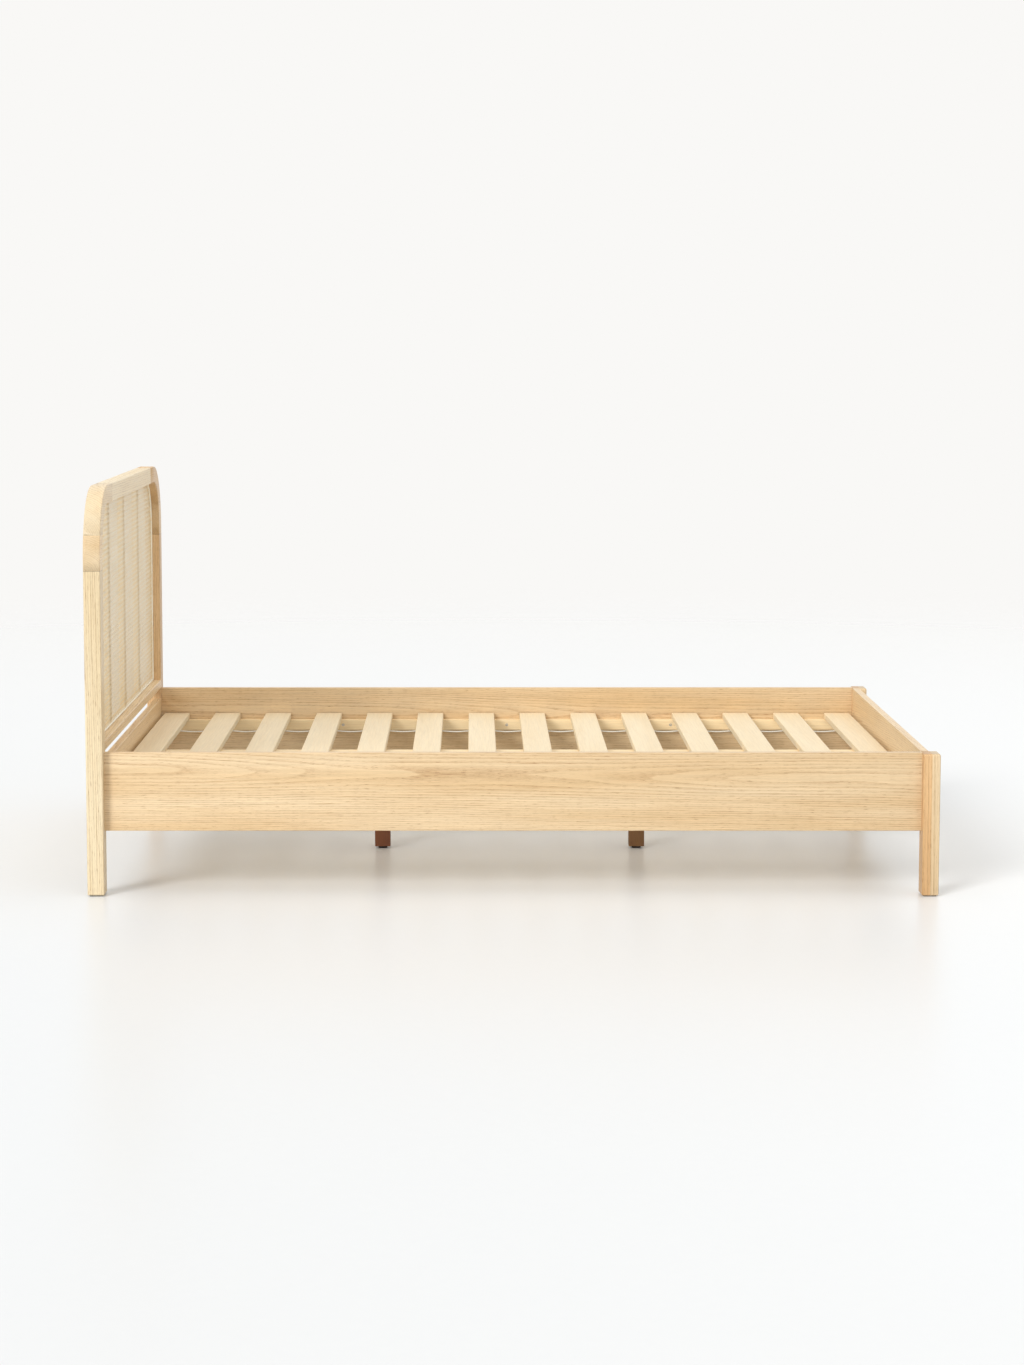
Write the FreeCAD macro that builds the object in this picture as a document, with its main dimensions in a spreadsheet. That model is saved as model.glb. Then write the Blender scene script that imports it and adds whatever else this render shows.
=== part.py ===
import FreeCAD, Part

import os

import Sketcher

# An oak bed frame with a cane headboard, modelled at its real size in millimetres.
# X runs from the headboard to the foot, Y from the left side to the right, Z up from the floor.
# The origin is on the floor, under the middle of the frame.

doc = FreeCAD.newDocument("cane_bed_frame")

SIZES = {
    # the whole frame
    "overall_length": 2120,
    "overall_width": 1480,
    "headboard_height": 1016,
    # headboard posts and foot legs: depth along X, width along Y
    "post_depth": 42,
    "post_width": 58,
    "felt_thickness": 3,
    "felt_inset": 5,
    "edge_round": 3,
    "foot_bevel": 2.5,
    "leg_top_round": 6,
    # the curved top of the headboard
    "outer_corner": 180,
    "inner_corner": 122,
    "top_rail_height": 46,
    "lower_joint_level": 812,
    "upper_joint_level": 900,
    "corner_reach": 280,
    # cane panel
    "cane_rail_bottom": 360,
    "cane_rail_height": 24,
    "cane_recess": 25,
    "cane_thickness": 1.2,
    "cane_columns": 4,
    "spline_size": 4,
    "batten_width": 40,
    "batten_thickness": 14,
    # rails
    "rail_bottom": 162,
    "rail_height": 197,
    "rail_thickness": 20,
    "rail_inset": 27,
    "rail_round": 2,
    "lower_rail_height": 168,
    # slatted base and its supports
    "deck_level": 285,
    "slat_count": 14,
    "slat_width": 75,
    "slat_thickness": 18,
    "slat_side_gap": 5,
    "slat_end_gap": 8,
    "slat_round": 3,
    "strap_width": 20,
    "strap_thickness": 1,
    "strap_offset": 420,
    "ledger_width": 25,
    "ledger_height": 30,
    "ledger_end_gap": 18,
    # centre beam, its brackets and its legs
    "beam_width": 42,
    "beam_height": 80,
    "beam_end_gap": 3,
    "bracket_sheet": 2,
    "bracket_reach": 45,
    "bracket_flange": 22,
    "bracket_height": 62,
    "bracket_slack": 1,
    "centre_leg_size": 42,
    "centre_leg_offset": 346,
    "centre_leg_gap": 6.5,
    # adjustable glides under the centre legs
    "glide_radius": 12.5,
    "glide_height": 5,
    "glide_socket_radius": 8.2,
    "glide_socket_floor": 2.4,
    "glide_bevel": 1,
    "stem_radius": 3.9,
    "stem_top": 36,
    "stem_hex_radius": 7.6,
    "stem_hex_bottom": 2.6,
    "stem_hex_top": 4.7,
    "insert_radius": 6,
    "insert_length": 16,
    "insert_flange_radius": 10,
    "insert_flange": 1.5,
    "thread_radius": 4,
    "stem_room": 60,
    "bore_clearance": 1,
    # hooked rail fittings
    "plate_width": 14,
    "plate_height": 140,
    "plate_thickness": 2.5,
    "plate_bottom": 190,
    "hook_thickness": 3,
    "hook_height": 22,
    "hook_reach": 12,
    "hook_throat": 8,
    "hook_spacing": 80,
    "slot_clearance": 1,
    "pocket_clearance": 2,
    # fasteners
    "screw_radius": 2,
    "screw_head_radius": 4,
    "screw_head_height": 2.4,
    "long_screw": 35,
    "short_screw": 16,
    "screw_proud": 0.2,
    "ledger_screws_each": 9,
    "ledger_screw_margin": 54,
    "dowel_radius": 4,
    "dowel_length": 30,
    "dowel_spacing": 20,
    "rail_dowel_margin": 30,
    "rail_dowels_each": 3,
    "bolt_radius": 4,
    "bolt_length": 90,
}

sheet = doc.addObject("Spreadsheet::Sheet", "Sizes")
for row, (alias, number) in enumerate(SIZES.items(), start=1):
    sheet.set(f"A{row}", alias.replace("_", " "))
    sheet.set(f"B{row}", str(number))
    sheet.setAlias(f"B{row}", alias)
doc.recompute()


class Dim:
    """A size as the expression that FreeCAD recomputes, with its value now."""

    def __init__(self, text, value):
        self.text = text
        self.value = value

    @staticmethod
    def of(item):
        return item if isinstance(item, Dim) else Dim(repr(float(item)), float(item))

    def _join(self, sign, left, right, value):
        return Dim(f"({left.text} {sign} {right.text})", value)

    def __add__(self, other):
        other = Dim.of(other)
        return self._join("+", self, other, self.value + other.value)

    def __sub__(self, other):
        other = Dim.of(other)
        return self._join("-", self, other, self.value - other.value)

    def __rsub__(self, other):
        return Dim.of(other) - self

    def __mul__(self, other):
        other = Dim.of(other)
        return self._join("*", self, other, self.value * other.value)

    def __truediv__(self, other):
        other = Dim.of(other)
        return self._join("/", self, other, self.value / other.value)

    def __neg__(self):
        return Dim.of(0) - self

    __radd__ = __add__
    __rmul__ = __mul__


def size(alias):
    """The spreadsheet cell with this alias."""
    return Dim(f"Sizes.{alias}", float(getattr(sheet, alias)))


# ---------------------------------------------------------------- shared places

head_back = -size("overall_length") / 2
head_face = head_back + size("post_depth")
foot_end = size("overall_length") / 2
foot_face = foot_end - size("post_depth")
left_side = -size("overall_width") / 2
left_post_inner = left_side + size("post_width")
rail_outer = left_side + size("rail_inset")
rail_inner = rail_outer + size("rail_thickness")
slat_bottom = size("deck_level") - size("slat_thickness")
top_rail_bottom = size("headboard_height") - size("top_rail_height")
cane_bottom = size("cane_rail_bottom") + size("cane_rail_height")
cane_front = head_face - size("cane_recess")
cane_back = cane_front - size("cane_thickness")
column_width = (size("overall_width") - 2 * size("post_width")) / size("cane_columns")
column_count = int(size("cane_columns").value)
beam_bottom = slat_bottom - size("beam_height")

parts = []


# ---------------------------------------------------------------- building helpers


def keep(thing, label):
    """Name a finished sub-part and put it on the list to write."""
    thing.Label = label
    parts.append(thing)
    return thing


def bind(thing, **sizes):
    """Bind properties to sizes; an underscore pair in a name stands for a dot."""
    for name, dim in sizes.items():
        thing.setExpression(name.replace("__", "."), Dim.of(dim).text)


def place(thing, x, y, z):
    """Bind the position of a sub-part."""
    bind(thing, Placement__Base__x=x, Placement__Base__y=y, Placement__Base__z=z)


def origin_plane(body, role):
    """One of the body's own origin planes, by its role."""
    return next(item for item in body.Origin.OriginFeatures if item.Role == role)


def polygon_sketch(body, role, corners):
    """A closed outline of straight lines whose corners are bound to sizes."""
    sketch = body.newObject("Sketcher::SketchObject", "Outline")
    sketch.AttachmentSupport = (origin_plane(body, role), [""])
    sketch.MapMode = "FlatFace"
    corners = [(Dim.of(across), Dim.of(up)) for across, up in corners]
    spots = [FreeCAD.Vector(across.value, up.value, 0) for across, up in corners]
    for start, end in zip(spots, spots[1:] + spots[:1]):
        sketch.addGeometry(Part.LineSegment(start, end), False)
    count = len(spots)
    for line in range(count):
        sketch.addConstraint(Sketcher.Constraint("Coincident", line, 2, (line + 1) % count, 1))
    for line, (across, up) in enumerate(corners):
        for kind, axis, dim in (("DistanceX", -2, across), ("DistanceY", -1, up)):
            if dim.value == 0:
                sketch.addConstraint(Sketcher.Constraint("PointOnObject", line, 1, axis))
                continue
            index = sketch.addConstraint(Sketcher.Constraint(kind, -1, 1, line, 1, dim.value))
            sketch.setExpression(f"Constraints[{index}]", dim.text)
    return sketch


def pad(body, sketch, length):
    """Extrude a sketch along its normal."""
    feature = body.newObject("PartDesign::Pad", "Pad")
    feature.Profile = sketch
    bind(feature, Length=length)
    doc.recompute()
    return feature


def dress(body, kind, amount, chosen):
    """Fillet or chamfer the edges of the body's last feature that a test picks."""
    base = body.Tip
    names = [f"Edge{n}" for n, edge in enumerate(base.Shape.Edges, start=1) if chosen(edge)]
    feature = body.newObject(f"PartDesign::{kind}", kind)
    feature.Base = (base, names)
    bind(feature, **{"Radius" if kind == "Fillet" else "Size": amount})
    body.Tip = feature
    doc.recompute()
    return feature


def along(axis):
    """A test for straight edges that run along one axis."""

    def chosen(edge):
        if edge.Curve.TypeId != "Part::GeomLine":
            return False
        return abs(getattr(edge.Curve.Direction, axis)) > 0.999

    return chosen


def at_level(level):
    """A test for edges that lie at one height of the body."""

    def chosen(edge):
        return all(abs(vertex.Z - level) < 0.01 for vertex in edge.Vertexes)

    return chosen


def board(name, length, width, height, rounded=None, radius=None):
    """A rectangular piece of timber, with the edges along one axis eased."""
    body = doc.addObject("PartDesign::Body", name)
    corners = [(0, 0), (length, 0), (length, width), (0, width)]
    pad(body, polygon_sketch(body, "XY_Plane", corners), height)
    if rounded:
        dress(body, "Fillet", radius, along(rounded))
    return body


def block(name, length, width, height, x, y, z):
    """A plain box at a place, for cutting, joining and small pieces."""
    box = doc.addObject("Part::Box", name)
    bind(box, Length=length, Width=width, Height=height)
    place(box, x, y, z)
    return box


def rod(name, radius, height, x, y, z):
    """A plain upright cylinder at a place."""
    cylinder = doc.addObject("Part::Cylinder", name)
    bind(cylinder, Radius=radius, Height=height)
    place(cylinder, x, y, z)
    return cylinder


def joined(name, pieces):
    """Several overlapping or touching solids made one."""
    fusion = doc.addObject("Part::MultiFuse", name)
    fusion.Shapes = pieces
    return fusion


def cut(name, base, tools):
    """A solid with others taken away."""
    result = doc.addObject("Part::Cut", name)
    result.Base = base
    result.Tool = tools[0] if len(tools) == 1 else joined(f"{name}_tools", tools)
    return result


def common(name, base, region):
    """The part of a solid that lies in a region."""
    result = doc.addObject("Part::Common", name)
    result.Base = base
    result.Tool = region
    return result


def mirrored(source, label):
    """The right-hand twin of a left-hand sub-part."""
    twin = doc.addObject("Part::Mirroring", label)
    twin.Source = source
    twin.Normal = FreeCAD.Vector(0, 1, 0)
    return keep(twin, label)


def copies(label, source, placements):
    """One node that holds a separate copy of a small solid at each placement."""
    doc.recompute()
    group = doc.addObject("Part::Feature", label)
    group.Shape = Part.makeCompound([moved(source, spot) for spot in placements])
    return keep(group, label)


def moved(source, placement):
    """A copy of an object's shape, carried to a placement."""
    shape = source.Shape.copy()
    shape.Placement = placement
    return shape


def pointing(direction, x, y, z):
    """The placement that turns +Z to a direction and carries the origin to a point."""
    turn = FreeCAD.Rotation(FreeCAD.Vector(0, 0, 1), FreeCAD.Vector(*direction))
    return FreeCAD.Placement(FreeCAD.Vector(x, y, z), turn)


def spread(first, last, count):
    """Evenly spaced values from first to last."""
    return [first + (last - first) * step / (count - 1) for step in range(count)]


# ---------------------------------------------------------------- headboard frame


def headboard_arch():
    """The whole curved frame of the headboard, before it is divided at its glue joints."""
    body = doc.addObject("PartDesign::Body", "headboard_arch")
    right_side = -left_side
    floor_gap = size("felt_thickness")
    top = size("headboard_height")
    corners = [
        (left_side, floor_gap),
        (left_post_inner, floor_gap),
        (left_post_inner, top_rail_bottom),
        (-left_post_inner, top_rail_bottom),
        (-left_post_inner, floor_gap),
        (right_side, floor_gap),
        (right_side, top),
        (left_side, top),
    ]
    pad(body, polygon_sketch(body, "YZ_Plane", corners), size("post_depth"))
    for radius, level in ((size("inner_corner"), top_rail_bottom), (size("outer_corner"), top)):
        dress(body, "Fillet", radius, corner_at(level))

    def on_front_or_back(edge):
        box = edge.BoundBox
        return box.XLength < 0.01 and box.ZMax > floor_gap.value + 1

    dress(body, "Fillet", size("edge_round"), on_front_or_back)
    dress(body, "Chamfer", size("foot_bevel"), at_level(floor_gap.value))
    place(body, head_back, 0, 0)
    return body


def corner_at(level):
    """A test for edges along X that lie at one height of the body."""
    return lambda edge: along("x")(edge) and at_level(level.value)(edge)


def headboard_frame():
    """Posts, two-board corner blocks and top rail, parted at their glue joints."""
    arch = headboard_arch()
    reach = size("corner_reach")
    deep = size("post_depth")
    lower = size("lower_joint_level")
    upper = size("upper_joint_level")
    top = size("headboard_height")
    regions = {
        "headboard_post_left": (reach, lower, left_side, 0),
        "headboard_corner_lower_left": (reach, upper - lower, left_side, lower),
        "headboard_corner_upper_left": (reach, top - upper, left_side, upper),
    }
    left = {}
    for label, (width, height, y, z) in regions.items():
        region = block(f"{label}_region", deep, width, height, head_back, y, z)
        left[label] = common(f"{label}_blank", arch, region)
    blank = left["headboard_post_left"]
    left["headboard_post_left"] = cut("housed_post", blank, fitting_pockets("head_post", head_face, -1))
    for label, piece in left.items():
        keep(piece, label)
        mirrored(piece, label.replace("left", "right"))
    region = block(
        "top_rail_region",
        deep,
        size("overall_width") - 2 * reach,
        size("top_rail_height"),
        head_back,
        left_side + reach,
        top_rail_bottom,
    )
    keep(common("top_rail", arch, region), "headboard_top_rail")


def headboard_cross_rails():
    """The rail under the cane and the hidden rail at the level of the side rails."""
    between = size("overall_width") - 2 * size("post_width")
    cane_rail = board(
        "cane_rail", size("post_depth"), between, size("cane_rail_height"), "y", size("rail_round")
    )
    place(cane_rail, head_back, left_post_inner, size("cane_rail_bottom"))
    keep(cane_rail, "headboard_cane_rail")
    lower_rail = board(
        "lower_rail",
        size("rail_thickness"),
        between,
        size("lower_rail_height"),
        "y",
        size("rail_round"),
    )
    place(lower_rail, head_face - size("rail_thickness"), left_post_inner, size("rail_bottom"))
    keep(lower_rail, "headboard_lower_rail")


def headboard_battens():
    """Upright battens behind the cane, one at each line between its columns."""
    for number in range(1, column_count):
        batten = board(
            f"batten_{number}",
            size("batten_thickness"),
            size("batten_width"),
            top_rail_bottom - cane_bottom,
            "z",
            size("rail_round"),
        )
        middle = left_post_inner + number * column_width
        place(
            batten,
            cane_back - size("batten_thickness"),
            middle - size("batten_width") / 2,
            cane_bottom,
        )
        keep(batten, f"headboard_batten_{number}")


def cane_opening(name, front, thickness, shrink):
    """A thin slab that fills the arched opening over the cane rail, less a margin."""
    body = doc.addObject("PartDesign::Body", name)
    side = -left_post_inner - shrink
    bottom = cane_bottom + shrink
    top = top_rail_bottom - shrink
    corners = [(-side, bottom), (side, bottom), (side, top), (-side, top)]
    pad(body, polygon_sketch(body, "YZ_Plane", corners), thickness)
    radius = size("inner_corner") - shrink
    dress(body, "Fillet", radius, corner_at(top))
    place(body, front - thickness, 0, 0)
    return body


def cane_work():
    """Four columns of cane webbing, and the reed spline that edges them in front."""
    sheet_body = cane_opening("cane_sheet", cane_front, size("cane_thickness"), Dim.of(0))
    height = top_rail_bottom - cane_bottom
    for number in range(1, column_count + 1):
        left_edge = left_post_inner + (number - 1) * column_width
        region = block(
            f"cane_region_{number}",
            size("cane_thickness"),
            column_width,
            height,
            cane_back,
            left_edge,
            cane_bottom,
        )
        keep(common(f"cane_column_{number}", sheet_body, region), f"cane_panel_{number}")
    bead = size("spline_size")
    outer = cane_opening("spline_outer", cane_front + bead, bead, Dim.of(0))
    inner = cane_opening("spline_inner", cane_front + 2 * bead, 3 * bead, bead)
    keep(cut("cane_spline", outer, [inner]), "cane_spline")


# ---------------------------------------------------------------- rails and legs


def fitting_pockets(name, face, inward):
    """The pocket for a slotted plate in a leg, and the deeper one for its hooks."""
    deep = size("hook_reach") + size("pocket_clearance")
    middle = rail_outer + size("rail_thickness") / 2
    plate_x = face if inward > 0 else face - size("plate_thickness")
    deep_x = face if inward > 0 else face - deep
    wide = size("hook_thickness") + 2 * size("slot_clearance")
    plate = block(
        f"{name}_plate_pocket",
        size("plate_thickness"),
        size("plate_width"),
        size("plate_height"),
        plate_x,
        middle - size("plate_width") / 2,
        size("plate_bottom"),
    )
    room = block(
        f"{name}_hook_room",
        deep,
        wide,
        size("hook_spacing") + 2 * size("hook_height"),
        deep_x,
        middle - wide / 2,
        hook_bottom() - size("hook_height") / 2,
    )
    return [plate, room]


def hook_bottom():
    """The underside of the lower hook of a rail fitting."""
    slack = size("plate_height") - size("hook_spacing") - size("hook_height")
    return size("plate_bottom") + slack / 2


def foot_legs():
    """Foot legs with rounded tops, pocketed for the rail fittings."""
    height = size("rail_bottom") + size("rail_height") - size("felt_thickness")
    body = board(
        "foot_leg", size("post_depth"), size("post_width"), height, "z", size("edge_round")
    )
    dress(body, "Fillet", size("leg_top_round"), at_level(height.value))
    dress(body, "Chamfer", size("foot_bevel"), at_level(0))
    place(body, foot_face, left_side, size("felt_thickness"))
    leg = keep(cut("foot_leg_left", body, fitting_pockets("foot_leg", foot_face, 1)), "foot_leg_left")
    mirrored(leg, "foot_leg_right")


def side_rails():
    """Side rails, each end housed for its hooked plate."""
    length = foot_face - head_face
    rail = board(
        "side_rail", length, size("rail_thickness"), size("rail_height"), "x", size("rail_round")
    )
    place(rail, head_face, rail_outer, size("rail_bottom"))
    middle = rail_outer + size("rail_thickness") / 2
    housings = [
        block(
            f"{name}_housing",
            size("plate_thickness"),
            size("plate_width"),
            size("plate_height"),
            x,
            middle - size("plate_width") / 2,
            size("plate_bottom"),
        )
        for name, x in (("head_end", head_face), ("foot_end", foot_face - size("plate_thickness")))
    ]
    left = keep(cut("side_rail_left", rail, housings), "side_rail_left")
    mirrored(left, "side_rail_right")


def side_ledgers():
    """Ledgers inside the side rails, which carry the ends of the slats."""
    length = foot_face - head_face - 2 * size("ledger_end_gap")
    ledger = board(
        "side_ledger", length, size("ledger_width"), size("ledger_height"), "x", size("rail_round")
    )
    place(
        ledger, head_face + size("ledger_end_gap"), rail_inner, slat_bottom - size("ledger_height")
    )
    keep(ledger, "side_ledger_left")
    mirrored(ledger, "side_ledger_right")


def foot_rail():
    """The rail between the foot legs, flush with their inner faces."""
    between = size("overall_width") - 2 * size("post_width")
    rail = board(
        "foot_rail", size("rail_thickness"), between, size("rail_height"), "y", size("rail_round")
    )
    place(rail, foot_face, left_post_inner, size("rail_bottom"))
    keep(rail, "foot_rail")


def felt_pads():
    """A felt pad under each of the four corner legs."""
    inset = size("felt_inset")
    for end, x in (("head", head_back), ("foot", foot_face)):
        pad_body = board(
            f"felt_{end}",
            size("post_depth") - 2 * inset,
            size("post_width") - 2 * inset,
            size("felt_thickness"),
            "z",
            size("edge_round"),
        )
        place(pad_body, x + inset, left_side + inset, 0)
        keep(pad_body, f"felt_pad_{end}_left")
        mirrored(pad_body, f"felt_pad_{end}_right")


# ---------------------------------------------------------------- rail fittings


def rail_fittings():
    """Hooked plates on the rail ends and slotted plates in the legs, one pair at each corner."""
    thick = size("plate_thickness")
    wide = size("plate_width")
    tall = size("plate_height")
    hook = size("hook_thickness")
    clear = size("slot_clearance")
    throat = size("hook_throat")
    pieces = [block("hook_plate", thick, wide, tall, 0, -wide / 2, size("plate_bottom"))]
    slots = []
    slot_depth = 3 * thick
    for number in range(2):
        low = hook_bottom() + number * size("hook_spacing")
        neck = block(
            f"hook_neck_{number}",
            size("hook_reach"),
            hook,
            size("hook_height") - throat,
            -size("hook_reach"),
            -hook / 2,
            low + throat,
        )
        tongue = block(
            f"hook_tongue_{number}",
            size("hook_reach") - thick - clear / 2,
            hook,
            size("hook_height"),
            -size("hook_reach"),
            -hook / 2,
            low,
        )
        pieces += [neck, tongue]
        slots.append(
            block(
                f"hook_slot_{number}",
                slot_depth,
                hook + 2 * clear,
                size("hook_height") + clear,
                -(slot_depth + thick) / 2,
                -hook / 2 - clear,
                low + throat,
            )
        )
    hooked = joined("hooked_plate", pieces)
    blank = block("slot_plate_blank", thick, wide, tall, -thick, -wide / 2, size("plate_bottom"))
    slotted = cut("slotted_plate", blank, slots)
    middle = (rail_outer + size("rail_thickness") / 2).value
    corners = [
        FreeCAD.Placement(FreeCAD.Vector(x, side * middle, 0), FreeCAD.Rotation(turn, 0, 0))
        for x, turn in ((head_face.value, 0), (foot_face.value, 180))
        for side in (1, -1)
    ]
    copies("rail_hook_plates", hooked, corners)
    copies("leg_slot_plates", slotted, corners)


# ---------------------------------------------------------------- centre beam


def beam_bracket(end, x, facing):
    """A folded steel saddle that holds one end of the centre beam against a cross rail."""
    sheet_gauge = size("bracket_sheet")
    inner = size("beam_width") + size("bracket_slack")
    outer = inner + 2 * sheet_gauge
    bottom = beam_bottom - sheet_gauge
    height = size("bracket_height")
    wide = outer + 2 * size("bracket_flange")
    reach = size("bracket_reach")
    back_x = x if facing > 0 else x - sheet_gauge
    saddle_x = x if facing > 0 else x - reach
    back = block(f"{end}_bracket_back", sheet_gauge, wide, height, back_x, -wide / 2, bottom)
    saddle = block(f"{end}_bracket_saddle", reach, outer, height, saddle_x, -outer / 2, bottom)
    room_x = x + sheet_gauge if facing > 0 else x - reach - sheet_gauge
    room = block(
        f"{end}_bracket_room",
        reach,
        inner,
        height,
        room_x,
        -inner / 2,
        beam_bottom,
    )
    bracket = cut(f"beam_bracket_{end}", joined(f"{end}_bracket_blank", [back, saddle]), [room])
    keep(bracket, f"beam_bracket_{end}")


def centre_beam():
    """The beam down the middle, which the slats also rest on."""
    length = foot_face - head_face - 2 * size("beam_end_gap")
    beam = board("centre_beam", length, size("beam_width"), size("beam_height"), "x", size("rail_round"))
    place(beam, head_face + size("beam_end_gap"), -size("beam_width") / 2, beam_bottom)
    keep(beam, "centre_beam")
    beam_bracket("head", head_face, 1)
    beam_bracket("foot", foot_face, -1)


def centre_leg(end, x):
    """A square leg under the beam, bored from below for its threaded insert and stem."""
    thick = size("centre_leg_size")
    bottom = size("centre_leg_gap")
    body = board(f"{end}_leg", thick, thick, beam_bottom - bottom, "z", size("rail_round"))
    place(body, x - thick / 2, -thick / 2, bottom)
    spare = size("bore_clearance")
    sizes = {
        "stem": (size("thread_radius") + spare, size("stem_room")),
        "insert": (size("insert_radius"), size("insert_length") + spare),
        "flange": (size("insert_flange_radius"), size("insert_flange") + spare),
    }
    bores = [
        rod(f"{end}_{name}_bore", radius, depth, x, 0, bottom - spare)
        for name, (radius, depth) in sizes.items()
    ]
    keep(cut(f"centre_leg_{end}", body, bores), f"centre_leg_{end}")


def glide(end, x):
    """A plastic foot with a socket, and the hex-collared steel stem that turns in it."""
    disc = doc.addObject("PartDesign::Body", f"glide_{end}")
    radius = size("glide_radius")
    bevel = size("glide_bevel")
    corners = [
        (0, 0),
        (radius - bevel, 0),
        (radius, bevel),
        (radius, size("glide_height") - bevel),
        (radius - bevel, size("glide_height")),
        (size("glide_socket_radius"), size("glide_height")),
        (size("glide_socket_radius"), size("glide_socket_floor")),
        (0, size("glide_socket_floor")),
    ]
    revolve(disc, polygon_sketch(disc, "XZ_Plane", corners))
    place(disc, x, 0, 0)
    keep(disc, f"glide_pad_{end}")
    collar = doc.addObject("Part::Prism", f"{end}_collar")
    collar.Polygon = 6
    bind(collar, Circumradius=size("stem_hex_radius"))
    bind(collar, Height=size("stem_hex_top") - size("stem_hex_bottom"))
    place(collar, x, 0, size("stem_hex_bottom"))
    shank_bottom = size("stem_hex_bottom")
    shank = rod(f"{end}_shank", size("stem_radius"), size("stem_top") - shank_bottom, x, 0, shank_bottom)
    keep(joined(f"glide_stem_{end}", [collar, shank]), f"glide_stem_{end}")


def revolve(body, sketch):
    """Turn a half profile about the upright axis of its sketch."""
    feature = body.newObject("PartDesign::Revolution", "Turned")
    feature.Profile = sketch
    feature.ReferenceAxis = (sketch, ["V_Axis"])
    feature.Angle = 360
    doc.recompute()
    return feature


def centre_supports():
    """Both centre legs with their glides, threaded inserts and hanger bolts."""
    stations = {"head": -size("centre_leg_offset"), "foot": size("centre_leg_offset")}
    for end, x in stations.items():
        centre_leg(end, x)
        glide(end, x)
    insert = doc.addObject("PartDesign::Body", "threaded_insert")
    corners = [
        (size("thread_radius"), 0),
        (size("insert_flange_radius"), 0),
        (size("insert_flange_radius"), size("insert_flange")),
        (size("insert_radius"), size("insert_flange")),
        (size("insert_radius"), size("insert_length")),
        (size("thread_radius"), size("insert_length")),
    ]
    revolve(insert, polygon_sketch(insert, "XZ_Plane", corners))
    bottom = size("centre_leg_gap").value
    spots = [pointing((0, 0, 1), x.value, 0, bottom) for x in stations.values()]
    copies("glide_inserts", insert, spots)
    bolt = rod("hanger_bolt", size("bolt_radius"), size("bolt_length"), 0, 0, 0)
    low = (beam_bottom - size("bolt_length") / 2).value
    spots = [pointing((0, 0, 1), x.value, 0, low) for x in stations.values()]
    copies("centre_leg_bolts", bolt, spots)


# ---------------------------------------------------------------- slatted base


def slatted_base():
    """Loose slats held at their spacing by two webbing straps stapled beneath them."""
    count = int(size("slat_count").value)
    first = head_face + size("slat_end_gap")
    last = foot_face - size("slat_end_gap") - size("slat_width")
    width = -2 * (rail_inner + size("slat_side_gap"))
    for number in range(1, count + 1):
        slat = board(
            f"slat_body_{number:02d}",
            size("slat_width"),
            width,
            size("slat_thickness"),
            "y",
            size("slat_round"),
        )
        x = first + (last - first) * (number - 1) / (size("slat_count") - 1)
        place(slat, x, -width / 2, slat_bottom)
        keep(slat, f"slat_{number:02d}")
    margin = size("strap_width") / 2
    strap = block(
        "slat_strap",
        last + size("slat_width") - first - 2 * margin,
        size("strap_width"),
        size("strap_thickness"),
        first + margin,
        -size("strap_offset") - size("strap_width") / 2,
        slat_bottom - size("strap_thickness"),
    )
    keep(strap, "slat_strap_left")
    mirrored(strap, "slat_strap_right")


# ---------------------------------------------------------------- fasteners


def screw(name, length):
    """A countersunk wood screw, head at the origin and point along +Z."""
    body = doc.addObject("PartDesign::Body", name)
    shank = size("screw_radius")
    corners = [
        (0, 0),
        (size("screw_head_radius"), 0),
        (shank, size("screw_head_height")),
        (shank, length - 2 * shank),
        (0, length),
    ]
    revolve(body, polygon_sketch(body, "XZ_Plane", corners))
    return body


def wood_screws():
    """Long screws: ledgers to side rails, and the fittings to rail ends and legs."""
    proud = size("screw_proud").value
    inner = (rail_inner + size("ledger_width")).value + proud
    level = (slat_bottom - size("ledger_height") / 2).value
    margin = size("ledger_screw_margin").value
    stations = spread(
        head_face.value + margin, foot_face.value - margin, int(size("ledger_screws_each").value)
    )
    spots = [pointing((0, side, 0), x, -side * inner, level) for side in (-1, 1) for x in stations]
    middle = (rail_outer + size("rail_thickness") / 2).value
    bottom = size("plate_bottom").value
    tall = size("plate_height").value
    edge = (size("screw_head_radius") + size("screw_radius")).value
    for x, into_rail in ((head_face.value, 1), (foot_face.value, -1)):
        for y in (middle, -middle):
            spots.append(pointing((into_rail, 0, 0), x, y, bottom + tall / 2))
            spots.append(pointing((-into_rail, 0, 0), x, y, bottom + edge))
            spots.append(pointing((-into_rail, 0, 0), x, y, bottom + tall - edge))
    copies("wood_screws", screw("long_screw", size("long_screw")), spots)


def bracket_screws():
    """Short screws through the flanges of the beam brackets."""
    across = (size("beam_width") / 2 + size("bracket_sheet") + size("bracket_flange") / 2).value
    quarter = size("bracket_height").value / 4
    levels = (beam_bottom.value + quarter, beam_bottom.value + 3 * quarter)
    gauge = (size("bracket_sheet") + size("screw_proud")).value
    spots = [
        pointing((way, 0, 0), face - way * gauge, y, z)
        for face, way in ((head_face.value, -1), (foot_face.value, 1))
        for y in (-across, across)
        for z in levels
    ]
    copies("bracket_screws", screw("short_screw", size("short_screw")), spots)


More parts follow.
